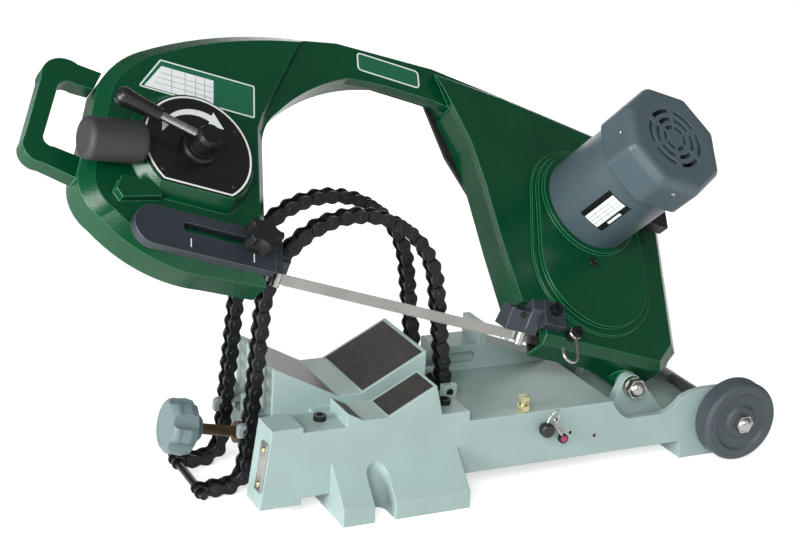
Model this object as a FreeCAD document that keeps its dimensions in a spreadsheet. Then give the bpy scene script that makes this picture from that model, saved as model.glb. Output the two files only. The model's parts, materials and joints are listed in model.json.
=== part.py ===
"""Portable band saw for pipe: a cast base with a chain vise and a leaning saw arm on a pivot."""
import FreeCAD, Part
import math
import os
import re

V = FreeCAD.Vector
Rotation = FreeCAD.Rotation
Placement = FreeCAD.Placement

# Driving dimensions in millimetres and degrees
SIZES = {
    "pipe_radius": 108.15, "pipe_rise": 133.5, "rest_swing": 18.06, "arm_lean": 45,
    "pivot_reach": 416, "pivot_drop": 23.2, "pivot_radius": 9, "clearance": 0.3, "running_fit": 0.05,
    "overrun": 1, "root": 2,
    # Base
    "base_front": 66, "base_rear": 150, "base_wall": 10, "deck_height": 96.5, "deck_thick": 12.5,
    "belly_height": 25, "end_left": 112, "corner_low_left": 148, "corner_high_left": 135,
    "corner_right": 95, "corner_low": 16, "corner_height": 117, "corner_depth": 46,
    "foot_left": 57, "foot_right": 113, "foot_front": 110, "foot_rear": 194, "toe_height": 22,
    "toe_top": 65, "foot_slot_width": 28, "foot_slot_place": -2, "foot_slot_depth": 40,
    "trough_left": 43, "trough_wall": 5.2, "trough_floor": 45, "ear_radius": 15, "ear_front": 30,
    "ear_thick": 14,
    "hinge_length": 74, "barrel_radius": 16, "web_width": 24,
    "wall_left": 160, "wall_right": 222, "wall_top": 131, "post_width": 10, "post_top": 158,
    "gusset_gap": 58, "rib_front": 95, "rib_rear": 145, "rib_pocket": 8,
    # Vise
    "vise_slope": 28, "vise_flat": 16, "vise_left": 95, "vise_right": 129, "chain_margin": 4.15,
    "vise_rear": 145, "saddle_left": 38, "saddle_right": 80, "slot_front": 10,
    "slot_rear": 16, "slot_floor": 7.5, "boss_height": 13.5, "vise_bolt_radius": 5,
    "vise_head_radius": 8, "vise_head_height": 7, "saddle_bore_left": 61,
    "saddle_bore_right": 108, "saddle_bore_front": 34,
    # Base fittings
    "cart_wheel_radius": 54.5, "cart_wheel_width": 32, "cart_hub_radius": 20, "axle_reach": 134,
    "axle_height": 56, "axle_radius": 8, "axle_nut_radius": 13, "axle_nut_height": 13,
    "wheel_gap": 2, "washer_radius": 14, "washer_thick": 6, "pivot_nut_radius": 14,
    "pivot_nut_height": 16, "pivot_head_height": 8,
    "heel_stop_radius": 6.35, "heel_stop_length": 52, "heel_stop_reach": 81, "heel_stop_drop": 6.85,
    "stop_bolt_place": 210, "stop_bolt_front": 56, "stop_bolt_radius": 5, "stop_bolt_top": 15,
    "stop_head_radius": 8.5, "stop_head_height": 6, "stop_nut_radius": 9.2, "stop_nut_height": 8,
    "lock_place": 236, "lock_drop": 22.5, "lock_radius": 6, "lock_length": 32, "lock_knob_radius": 9.5,
    "lock_knob_length": 16, "end_plate_width": 18, "end_plate_length": 62, "end_plate_thick": 3,
    "end_plate_low": 38, "end_plate_inset": 2,
    # Chains and clamp
    "chain_front_place": 25, "chain_rear_place": 115, "chain_pitch": 19.05, "chain_height": 18,
    "roller_radius": 5.95, "chain_inner": 12.7, "chain_plate": 2, "chain_gap": 0.2,
    "anchor_place": 136, "anchor_rise": 9.5, "anchor_radius": 5, "lug_half": 10, "lug_thick": 9,
    "hang_place": 132, "hang_drop": 40.5, "chain_tail": 205, "chain_bar_radius": 5,
    "screw_tilt": 12.9, "screw_place": 71, "screw_radius": 7, "screw_left": 196, "screw_right": 62,
    "screw_drop": 20.5, "screw_knob_place": 201, "clamp_knob_radius": 36, "clamp_knob_length": 45,
    "knob_lobes": 6,
    "clamp_collar_radius": 14, "clamp_collar_length": 12, "collar_place": 131,
    "finger_thick": 6.2, "finger_width": 10, "finger_reach": 9, "hook_drop": 13,
    "yoke_left": 92, "yoke_right": 77, "yoke_deep": 60.5, "yoke_shallow": 34.5,
    # Arm levels and wheels
    "wheel_radius": 100, "wheel_width": 16, "rim_thick": 9, "web_thick": 7, "hub_radius": 24,
    "blade_width": 13, "blade_thick": 0.65, "blade_gap": 0.3, "wheel_room": 7,
    "arm_rear": 16, "bridge_level": 18, "face_level": 30, "lip_level": 4, "pocket_level": 14,
    "cover_thick": 4, "shoe_radius": 300, "shoe_thick": 5, "shoe_width": 16, "channel_room": 7,
    # Blade tension
    "tension_top": 48, "disc_radius": 71, "disc_thick": 2, "disc_hole": 23, "tension_angle": 11,
    "carriage_length": 44, "carriage_width": 34, "carriage_low": 21, "carriage_high": 40,
    "carriage_travel": 6, "idler_axle_radius": 9, "spring_cap_radius": 25, "spring_cap_length": 74,
    "boss_top": 41, "lever_hub_radius": 22, "lever_hub_height": 8, "lever_neck_radius": 15,
    "lever_top": 86, "lever_foot": 3, "lever_cap_radius": 13, "lever_cap_height": 6, "lever_level": 74,
    "lever_angle": 166, "lever_rod_radius": 5, "lever_rod_length": 46, "lever_grip_length": 56,
    "grip_small": 8, "grip_large": 11,
    # Handle
    "handle_rear": 6, "handle_front": 14,
    # Drive
    "gear_teeth": 80, "pinion_teeth": 24, "tooth_addendum": 2, "gear_low": 16.5, "gear_width": 10,
    "gear_room": 2, "drive_shaft_radius": 12, "bush_radius": 17, "bush_length": 8,
    "pad_step": 4, "pad_top": 40, "seat_radius": 76, "motor_low": 46, "motor_radius": 68.5,
    "motor_high": 178, "motor_wall": 6.5, "motor_shaft_radius": 9, "motor_shaft_top": 206,
    "rotor_radius": 35, "rotor_length": 80, "rotor_low": 62, "air_gap": 0.8, "stator_length": 70,
    "fan_low": 184, "fan_height": 20, "fan_radius": 58, "fan_hub_radius": 15, "fan_blade": 3,
    "fan_blades": 7, "cover_low": 170, "cover_high": 226, "cover_apothem": 74, "cover_wall": 5.5,
    "cover_round": 14, "grille_inner": 13, "slot_width": 6, "slot_pitch": 12, "grille_spokes": 6,
    "gland_reach": 120, "gland_width": 26, "gland_height": 18, "gland_drop": 17,
    # Blade guides
    "bar_thick": 12, "bar_slot_width": 12, "stud_radius": 5, "stud_depth": 8, "star_radius": 22,
    "star_low": 52,
    "star_height": 22, "star_lobes": 5, "block_side": 11, "block_low": 9,
    "block_high": 23, "block_length": 30, "plate_thick": 10, "guide_roller_radius": 5.5,
    "roller_pin_radius": 2.5, "roller_low": -9, "roller_gap": 0.25, "roller_step": 14,
    "bracket_top": 44, "holder_front": 17, "holder_back": 6, "holder_high": 37, "holder_length": 42,
    "holder_web": 18, "fin_thick": 5, "bracket_screw_radius": 8, "bracket_screw_height": 8,
    "hook_bolt_radius": 8, "hook_bolt_height": 5,
    "hook_wire": 2.2, "hook_level": 41, "hook_eye": 7, "hook_reach": 44, "hook_bend": 11,
}

# Outlines in shares of the wheel radius: two numbers end a line, four give an arc's middle and end
ARM_SHARES = [
    (-1.40, -0.28), (-2.09, -0.31), (-2.95, -0.21, -3.50, 0.12), (-3.74, 0.40, -3.75, 0.76),
    (-3.56, 1.92), (-3.34, 2.29, -3.03, 2.57), (-1.95, 3.15, -0.72, 3.52), (-0.25, 3.64),
    (1.25, 3.72), (2.42, 3.62), (3.95, 3.45), (4.45, 3.38), (4.80, 3.27, 4.94, 2.95), (4.90, 0.20),
    (4.58, -0.16), (2.62, -0.16), (2.62, 0.32), (2.28, 0.35), (2.08, 1.18), (1.90, 2.04),
    (1.73, 2.63), (1.50, 3.12), (1.42, 3.28, 1.25, 3.33), (0.45, 3.33), (-0.34, 3.00, -1.17, 2.26),
    (-1.36, 1.95, -1.40, 1.70)]
LEFT_LOW_SHARES = [
    (-1.40, -0.28), (-2.09, -0.31), (-2.95, -0.21, -3.50, 0.12), (-3.74, 0.40, -3.75, 0.76),
    (-3.56, 1.92), (-3.34, 2.29, -3.03, 2.57), (-1.95, 3.15, -0.72, 3.52), (-1.32, 2.17),
    (-1.40, 1.90)]
LEFT_HIGH_SHARES = [
    (-1.52, -0.16), (-2.09, -0.18), (-2.88, -0.09, -3.36, 0.20), (-3.59, 0.45, -3.60, 0.76),
    (-3.42, 1.87), (-3.23, 2.18, -2.95, 2.45), (-1.95, 3.00, -0.88, 3.37), (-1.46, 2.05),
    (-1.52, 1.85)]
RIGHT_LOW_SHARES = [
    (1.28, 3.66), (2.42, 3.62), (3.95, 3.45), (4.45, 3.38), (4.80, 3.27, 4.94, 2.95), (4.90, 0.20),
    (4.58, -0.16), (2.62, -0.16), (2.62, 0.32), (2.28, 0.35), (2.08, 1.18), (1.90, 2.04),
    (1.73, 2.63), (1.50, 3.12)]
RIGHT_HIGH_SHARES = [
    (1.23, 3.54), (2.28, 3.50), (3.81, 3.33), (4.32, 3.26), (4.66, 3.14, 4.79, 2.86), (4.75, 0.26),
    (4.50, -0.06), (2.62, -0.06), (2.62, 0.32), (2.28, 0.35), (2.06, 1.18), (1.88, 2.04),
    (1.71, 2.63), (1.47, 3.12)]
LIP_SHARES = [(-0.20, 3.12), (0.45, 3.20), (1.25, 3.20), (1.56, 3.15), (1.30, 3.42), (0.45, 3.45),
              (-0.15, 3.30)]
COVER_SHARES = [
    (-1.45, -0.24), (-2.09, -0.26), (-2.90, -0.17, -3.45, 0.16), (-3.69, 0.42, -3.70, 0.78),
    (-3.51, 1.90), (-3.30, 2.25, -3.00, 2.52), (-1.94, 3.10, -0.70, 3.46), (-0.24, 3.58),
    (1.25, 3.66), (2.40, 3.57), (3.94, 3.40), (4.42, 3.33), (4.86, 2.93), (4.85, 0.25), (4.56, -0.10),
    (4.40, -0.10), (4.40, 0.76), (3.92, 0.76), (3.92, -0.10), (2.66, -0.10), (2.66, 0.36),
    (2.33, 0.40), (2.13, 1.20), (1.95, 2.06), (1.60, 2.60), (1.32, 3.36), (0.45, 3.38),
    (-0.52, 3.02, -1.10, 2.45), (-1.40, 2.00), (-1.45, 1.70)]
TENSION_LOW_SHARES = [(-2.88, 0.50), (-2.42, 2.00, -1.96, 0.50)]
TENSION_HIGH_SHARES = [(-2.89, 0.62), (-2.42, 1.91, -1.95, 0.62)]
BOSS_SHARES = [(-3.40, 0.42), (-3.32, 0.32), (-2.84, 0.46), (-2.88, 0.62), (-3.34, 0.60)]
HANDLE_OUTER_SHARES = [
    (-3.50, 2.12), (-3.80, 2.15), (-4.12, 2.12, -4.24, 1.84), (-4.40, 0.98), (-4.38, 0.76, -4.18, 0.68),
    (-3.66, 0.56)]
HANDLE_INNER_SHARES = [
    (-3.60, 1.86), (-3.82, 1.86), (-4.00, 1.83, -4.05, 1.70), (-4.18, 1.06), (-4.16, 0.96, -4.06, 0.93),
    (-3.74, 0.88)]
HUB_SHARES = {"disc": (-2.42, 1.18), "lever": (-2.43, 1.16), "spring": (-3.88, 0.86), "idler": -2.58,
              "drive": 3.50, "crest": (0.60, 3.52)}
# Ends and sides of the blade guides on the arm's face, its stud and the hook's bolt
GUIDE_SHARES = {"bar": (-3.18, -1.40), "bar_side": (-0.20, 0.31), "slot": (-2.58, -1.60),
                "stud": (-1.67, 0.12), "bracket": (2.52, 2.84), "bracket_side": (0, 0.35),
                "hook_bolt": (3.00, -0.02)}
# Where the pivot usually lies and where the arm's right part, which keeps by the pivot, starts
PIVOT_SHARE = 4.16
SPLIT_SHARE = 1.20
# The gear case's centre drop and the radii of its two steps, around the drive and the motor
PAD_SHARES = {"drop": 0.08, "outer": (0.98, 0.88), "inner": (0.88, 0.82)}
# The tail's side outline from the pivot, in shares of the axle's reach and the deck height
TAIL_SHARES = [
    (-0.374, 1.00), (-0.274, 0.80, -0.173, 0.71), (0.216, 0.71), (0.331, 0.78, 0.432, 0.91),
    (0.576, 0.98, 0.756, 1.00), (1.044, 1.00), (1.167, 0.86, 1.195, 0.60), (1.152, 0.36, 1.044, 0.23),
    (0.879, 0.23), (0.879, 0.00), (0.475, 0.00), (0.447, 0.26)]
RIB_POCKET_SHARES = [(-1, -0.35), (-1.25, 0, -1, 0.35), (1, 0.35), (1.25, 0, 1, -0.35)]
# A cap nut: where its hexagon and its bore end along its height, and the dome's width by its radius
NUT_SHARES = {"hexagon": 0.58, "bore": 0.66, "dome": 0.80}
# Half a chain plate's outline, in shares of the plate height
PLATE_SHARES = [(0.50, 0.22), (0.25, 0.50)]
# One gear tooth: radius from the pitch circle and half width, in shares of the addendum
TOOTH_SHARES = [(-1.25, 0.98), (1.00, 0.30)]

doc = FreeCAD.newDocument("portable_band_saw")
sheet = doc.addObject("Spreadsheet::Sheet", "sizes")
for row, (name, value) in enumerate(SIZES.items(), start=1):
    sheet.set("A%d" % row, name)
    sheet.set("B%d" % row, str(value))
    sheet.setAlias("B%d" % row, name)
sheet.set("B%d" % (len(SIZES) + 1), "=pivot_reach * cos(rest_swing) - pivot_drop * sin(rest_swing)")
sheet.setAlias("B%d" % (len(SIZES) + 1), "pivot_place")
doc.recompute()


class Sizes:
    """The sheet's values as plain numbers."""

    def __init__(self):
        for name in SIZES:
            setattr(self, name, float(getattr(sheet, name)))


size = Sizes()
nodes = []


# Helpers
def bind(thing, **texts):
    """Tie an object's properties to expressions over the sheet's names."""
    for prop, text in texts.items():
        thing.setExpression(prop, re.sub(r"[a-z][a-z_]+", lambda m: "sizes." + m.group(0), text))
    return thing


def keep(label, thing, place=None):
    """Name a finished sub-part and put it in its place."""
    thing.Label = label
    if place is not None:
        thing.Placement = place.multiply(thing.Placement)
    nodes.append(thing)
    return thing


def scaled(rows, wide, tall, x=0.0, y=0.0):
    """An outline's rows in millimetres."""
    units = (wide, tall, wide, tall)
    shift = (x, y, x, y)
    return [tuple(shift[i] + units[i] * v for i, v in enumerate(row)) for row in rows]


def arm_rows(rows):
    """An outline of the arm in millimetres; its right part keeps its place by the pivot."""
    found = []
    for row in rows:
        shifts = [heel_shift if i % 2 == 0 and v > SPLIT_SHARE else 0 for i, v in enumerate(row)]
        found.append(tuple(unit * v + shift for v, shift in zip(row, shifts)))
    return found


def curves(rows):
    """Lines and arcs of a closed outline."""
    here = V(rows[0][0], rows[0][1], 0)
    found = []
    for row in list(rows[1:]) + [rows[0]]:
        there = V(row[-2], row[-1], 0)
        if len(row) == 4:
            found.append(Part.Arc(here, V(row[0], row[1], 0), there))
        elif there.distanceToPoint(here) > size.running_fit:
            found.append(Part.LineSegment(here, there))
        here = there
    return found


def sketch(name, rows, place, holes=()):
    drawn = doc.addObject("Sketcher::SketchObject", name + "_sketch")
    drawn.Placement = place
    drawn.addGeometry(curves(rows), False)
    for hole in holes:
        drawn.addGeometry(curves(hole), False)
    return drawn


def extrude(name, rows, place, length, holes=()):
    """A straight extrusion along the outline's normal."""
    solid = doc.addObject("Part::Extrusion", name)
    solid.Base = sketch(name, rows, place, holes)
    solid.DirMode = "Normal"
    solid.Solid = True
    return bind(solid, LengthFwd=length)


def loft(name, low, high, low_level, high_level):
    """A bevelled pad between two outlines."""
    solid = doc.addObject("Part::Loft", name)
    solid.Sections = [sketch(name + "_low", low, level(low_level)),
                      sketch(name + "_high", high, level(high_level))]
    solid.Solid = True
    solid.Ruled = True
    return solid


def cylinder(name, place, radius, height):
    return bind(put(doc.addObject("Part::Cylinder", name), place), Radius=radius, Height=height)


def box(name, place, length, width, height):
    made = put(doc.addObject("Part::Box", name), place)
    return bind(made, Length=length, Width=width, Height=height)


def hexagon(name, place, radius, height):
    made = put(doc.addObject("Part::Prism", name), place)
    made.Polygon = 6
    return bind(made, Circumradius=radius, Height=height)


def put(thing, place):
    thing.Placement = place
    return thing


def fuse(name, *things):
    joined = doc.addObject("Part::MultiFuse", name)
    joined.Shapes = list(things)
    return joined


def cut(name, thing, *tools):
    made = doc.addObject("Part::Cut", name)
    made.Base = thing
    made.Tool = tools[0] if len(tools) == 1 else fuse(name + "_tools", *tools)
    return made


def group(name, *things):
    """Identical pieces that share a node."""
    made = doc.addObject("Part::Compound", name)
    made.Links = list(things)
    return made


def turned(label, rows):
    """A body of revolution about its own Z axis, from radius and height pairs."""
    body = doc.addObject("PartDesign::Body", label)
    profile = body_sketch(body, "XZ_Plane", rows)
    turn = body.newObject("PartDesign::Revolution", label + "_turn")
    turn.Profile = profile
    turn.ReferenceAxis = (profile, ["V_Axis"])
    turn.Angle = 360
    return body


def body_sketch(body, role, rows, offset=0.0):
    drawn = body.newObject("Sketcher::SketchObject", body.Name + "_profile")
    drawn.AttachmentSupport = [([p for p in body.Origin.OriginFeatures if p.Role == role][0], "")]
    drawn.MapMode = "FlatFace"
    drawn.AttachmentOffset = Placement(V(0, 0, offset), Rotation())
    drawn.addGeometry(curves(rows), False)
    return drawn


def level(height):
    return Placement(V(0, 0, height), Rotation())


def side_view(y):
    """Outline across X and Z, extruded towards the front."""
    return Placement(V(0, y, 0), Rotation(V(1, 0, 0), 90))


def end_view(x):
    """Outline across Y and Z, extruded to the right."""
    return Placement(V(x, 0, 0), Rotation(V(1, 1, 1), 120))


def along(position, direction):
    return Placement(position, Rotation(V(0, 0, 1), direction))


def front_to_back(x, y, z):
    return along(V(x, y, z), V(0, 1, 0))


def capsule_rows(low, low_radius, high, high_radius):
    """Two circles, one above the other, and their common tangents."""
    tilt = math.asin((low_radius - high_radius) / (high[1] - low[1]))
    c, s = math.cos(tilt), math.sin(tilt)
    return [(low[0] - low_radius * c, low[1] + low_radius * s),
            (high[0] - high_radius * c, high[1] + high_radius * s),
            (high[0], high[1] + high_radius, high[0] + high_radius * c, high[1] + high_radius * s),
            (low[0] + low_radius * c, low[1] + low_radius * s),
            (low[0], low[1] - low_radius, low[0] - low_radius * c, low[1] + low_radius * s)]


# Shared places: the pivot, the arm's leaning plane and the blade's upright plane
lean = math.radians(size.arm_lean)
pipe_height = size.deck_height + size.pipe_rise
pivot_x = float(sheet.pivot_place)
pivot_z = pipe_height - size.pipe_radius - size.pivot_drop
anchor_z = size.deck_height + size.anchor_rise
hang_z = size.deck_height - size.hang_drop
hook_z = size.deck_height - size.deck_thick
lock_z = size.deck_height - size.lock_drop
vise_half = size.pipe_radius - size.chain_margin
swing_turn = Rotation(V(0, 1, 0), size.rest_swing)
cut_point = V(pivot_x, 0, pivot_z) + swing_turn.multVec(V(-size.pivot_reach, 0, size.pivot_drop))
arm_place = Placement(cut_point, swing_turn.multiply(Rotation(V(1, 0, 0), size.arm_lean)))
blade_place = Placement(cut_point, swing_turn)
unit = size.wheel_radius
heel_shift = size.pivot_reach - PIVOT_SHARE * unit
bar_left, bar_right = (share * unit for share in GUIDE_SHARES["bar"])
bar_low, bar_high = (share * unit for share in GUIDE_SHARES["bar_side"])
slot_left, slot_right = (share * unit for share in GUIDE_SHARES["slot"])
stud_u, stud_v = (share * unit for share in GUIDE_SHARES["stud"])
bracket_left, bracket_right = (share * unit + heel_shift for share in GUIDE_SHARES["bracket"])
bracket_low, bracket_high = (share * unit for share in GUIDE_SHARES["bracket_side"])
guide_left, guide_right = bar_right - size.root, bracket_left + 2 * size.root
axle_v = size.wheel_radius + size.blade_gap + size.blade_thick / 2
idler = V(HUB_SHARES["idler"] * unit, axle_v, 0)
drive = V(HUB_SHARES["drive"] * unit + heel_shift, axle_v, 0)
motor = drive + V(0, size.tooth_addendum * (size.gear_teeth + size.pinion_teeth) / 2, 0)
crest = V(HUB_SHARES["crest"][0] * unit, HUB_SHARES["crest"][1] * unit, 0)
shoe = crest - V(0, size.shoe_radius, 0)


def arm_to_blade(v, w):
    return (v * math.cos(lean) - w * math.sin(lean), v * math.sin(lean) + w * math.cos(lean))


# Base casting
def make_base():
    deck = size.deck_height
    side = [(-size.end_left, size.belly_height), (-size.end_left, deck)]
    side += scaled(TAIL_SHARES, size.axle_reach, deck, pivot_x)
    block = extrude("base_block", side, side_view(size.base_rear), "base_front + base_rear")
    corner = extrude("base_corner", [(-size.corner_low_left, size.corner_low),
                                     (-size.corner_high_left, size.corner_height),
                                     (-size.corner_right, size.corner_height),
                                     (-size.corner_right, size.corner_low)],
                     side_view(size.corner_depth - size.base_front), "corner_depth")
    inside = V(-size.end_left + size.base_wall, -size.base_front + size.base_wall, -size.belly_height)
    hollow = box("base_hollow", Placement(inside, Rotation()),
                 "end_left - base_wall + pivot_place - trough_left - trough_wall",
                 "base_front + base_rear - 2 * base_wall", "deck_height - deck_thick + belly_height")
    trough = box("base_trough", Placement(V(pivot_x - size.trough_left, inside.y, size.trough_floor),
                                          Rotation()),
                 "axle_reach * 2", "base_front + base_rear - 2 * base_wall", "deck_height")
    shell = cut("base_shell", fuse("base_outer", block, corner), hollow, trough)
    toe = [(-size.foot_front, 0), (-size.foot_front, size.toe_height), (-size.base_front, size.toe_top),
           (-size.base_front + size.base_wall, size.toe_top),
           (-size.base_front + size.base_wall, size.belly_height),
           (size.base_rear - size.base_wall, size.belly_height),
           (size.base_rear - size.base_wall, size.toe_top), (size.base_rear, size.toe_top),
           (size.foot_rear, size.toe_height), (size.foot_rear, 0)]
    foot = extrude("cross_foot", toe, end_view(-size.foot_left), "foot_left + foot_right")
    rib_rows = [(size.wall_left, deck), (size.wall_left, size.wall_top), (size.wall_right, size.wall_top),
                (size.wall_right, size.post_top), (size.wall_right + size.post_width, size.post_top),
                (size.wall_right + size.post_width * 1.3, size.wall_top), (pivot_x - size.gusset_gap, deck)]
    rib = extrude("rear_rib", rib_rows, side_view(size.rib_rear), "rib_rear - rib_front")
    ears = [make_ear("ear_front", -size.ear_front), make_ear("ear_rear", -size.ear_front + size.ear_thick
                                                              + size.hinge_length + 4 * size.clearance)]
    lugs = [box("anchor_lug_%d" % i, Placement(V(size.anchor_place - size.lug_half, y,
                                                 deck - size.base_wall), Rotation()),
                "2 * lug_half", "lug_thick", "anchor_rise + 2 * anchor_radius + base_wall")
            for i, y in enumerate(lug_places())]
    body = fuse("base_body", shell, foot, rib, *ears, *lugs)
    return keep("base_casting", cut("base_casting", body, *base_openings()))


def lug_places():
    room = size.chain_inner / 2 + 2 * size.chain_plate + size.chain_gap + size.clearance
    front = size.chain_front_place
    rear = size.chain_rear_place
    return (front - room - size.lug_thick, (front + rear - size.lug_thick) / 2, rear + room)


def make_ear(name, front):
    """A hinge ear, sloped to the right to clear the arm's heel."""
    r = size.ear_radius
    rows = [(pivot_x - 3 * r, size.trough_floor - r / 2), (pivot_x - 0.93 * r, pivot_z + 0.36 * r),
            (pivot_x + 0.68 * r, pivot_z + 0.73 * r), (pivot_x + 3.7 * r, size.trough_floor + 0.7 * r),
            (pivot_x + 3.7 * r, size.trough_floor - r / 2)]
    plate = extrude(name + "_plate", rows, side_view(front + size.ear_thick), "ear_thick")
    return fuse(name, plate, cylinder(name + "_eye", front_to_back(pivot_x, front, pivot_z), "ear_radius",
                                      "ear_thick"))


def base_openings():
    wide = "base_front + base_rear + 4 * base_wall"
    far = -size.base_front - 2 * size.base_wall
    pocket = (size.wall_right - size.wall_left) / 3
    tools = [cylinder("pivot_bore", front_to_back(pivot_x, far, pivot_z), "pivot_radius + running_fit", wide),
             cylinder("axle_bore", front_to_back(pivot_x + size.axle_reach, far, size.axle_height),
                      "axle_radius + running_fit", wide),
             cylinder("lock_bore", front_to_back(size.lock_place, far, lock_z),
                      "lock_radius + running_fit", "3 * base_wall + overrun"),
             cylinder("anchor_bore", front_to_back(size.anchor_place, -size.base_wall, anchor_z),
                      "anchor_radius + running_fit", "base_rear"),
             cylinder("stop_bore", level_at(size.stop_bolt_place, -size.stop_bolt_front, 0),
                      "stop_bolt_radius + running_fit", "deck_height + overrun"),
             cylinder("screw_bore", screw_axis(size.screw_left), "screw_radius + clearance",
                      "screw_left - screw_right"),
             extrude("rib_pocket_cut", scaled(RIB_POCKET_SHARES, pocket, pocket,
                                              (size.wall_left + size.wall_right) / 2,
                                              (size.wall_top + size.deck_height) / 2),
                     side_view(size.rib_front + size.rib_pocket), "rib_pocket + overrun")]
    for x in (-size.saddle_bore_left, size.saddle_bore_right):
        tools.append(cylinder("vise_bolt_bore", level_at(x, -size.saddle_bore_front, 0),
                              "vise_bolt_radius + running_fit", "deck_height + overrun"))
    for y in (size.chain_front_place, size.chain_rear_place):
        tools.append(box("hook_window", Placement(V(-size.end_left - size.overrun, y - size.finger_width,
                                                    hook_z - size.finger_width * 1.5), Rotation()),
                         "end_left - yoke_right + finger_width", "2 * finger_width", "deck_height"))
    half = size.foot_slot_width / 2
    for sign, edge in ((1, -size.foot_front), (-1, size.foot_rear)):
        mouth = edge - sign * size.overrun
        back = edge + sign * (size.foot_slot_depth - half)
        rows = [(size.foot_slot_place - half, mouth), (size.foot_slot_place - half, back),
                (size.foot_slot_place, back + sign * half, size.foot_slot_place + half, back),
                (size.foot_slot_place + half, mouth)]
        tools.append(extrude("foot_slot", rows, level(-size.overrun), "toe_top + 2 * overrun"))
    return tools


def level_at(x, y, z):
    return Placement(V(x, y, z), Rotation())


def screw_axis(left):
    """A place on the clamp screw's axis, pointing right and down."""
    tilt = math.radians(size.screw_tilt)
    height = size.deck_height - size.screw_drop - (size.screw_knob_place - left) * math.tan(tilt)
    return along(V(-left, size.screw_place, height), V(math.cos(tilt), 0, -math.sin(tilt)))


# Vise block with a V seat, cut by the blade's slot
def vise_height(x):
    slope = math.radians(size.vise_slope)
    return pipe_height - size.pipe_radius / math.cos(slope) + abs(x) * math.tan(slope) - size.clearance


def make_vise():
    deck = size.deck_height
    flat = vise_height(size.vise_flat)
    boss = deck + size.boss_height
    front = [(-size.vise_left, deck), (-size.vise_left, boss), (-size.saddle_left, boss),
             (-size.saddle_left, vise_height(size.saddle_left)), (-size.vise_flat, flat),
             (size.vise_flat, flat),
             (size.saddle_right, vise_height(size.saddle_right)), (size.saddle_right + size.post_width, boss),
             (size.vise_right, boss), (size.vise_right, deck)]
    rear = [(-vise_half, deck), (-vise_half, vise_height(vise_half)), (-size.vise_flat, flat),
            (size.vise_flat, flat), (vise_half, vise_height(vise_half)), (vise_half, deck)]
    saddle = extrude("saddle", front, side_view(-size.slot_front), "base_front - slot_front")
    seat = extrude("rear_seat", rear, side_view(size.vise_rear), "vise_rear - slot_rear")
    floor = box("slot_floor_plate", level_at(-size.saddle_left - size.vise_flat,
                                             -size.slot_front - size.overrun, deck),
                "saddle_left + saddle_right", "slot_front + slot_rear + 2 * overrun", "slot_floor")
    bores = []
    for i, x in enumerate((-size.saddle_bore_left, size.saddle_bore_right)):
        bores.append(cylinder("vise_bore_%d" % i, level_at(x, -size.saddle_bore_front, 0),
                              "vise_bolt_radius + running_fit", "2 * deck_height"))
    keep("vise_block", cut("vise_block", fuse("vise_body", saddle, seat, floor), *bores))
    bolts = []
    for x in (-size.saddle_bore_left, size.saddle_bore_right):
        low = deck - size.deck_thick
        shank = cylinder("vise_shank", level_at(x, -size.saddle_bore_front, low), "vise_bolt_radius",
                         "deck_thick + boss_height + overrun")
        head = cylinder("vise_head", level_at(x, -size.saddle_bore_front, boss), "vise_head_radius",
                        "vise_head_height")
        socket = hexagon("vise_socket", level_at(x, -size.saddle_bore_front,
                                                 boss + size.vise_head_height / 2),
                         "vise_bolt_radius", "vise_head_height")
        bolts.append(cut("vise_bolt", fuse("vise_bolt_body", shank, head), socket))
    keep("vise_bolts", group("vise_bolts", *bolts))


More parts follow.
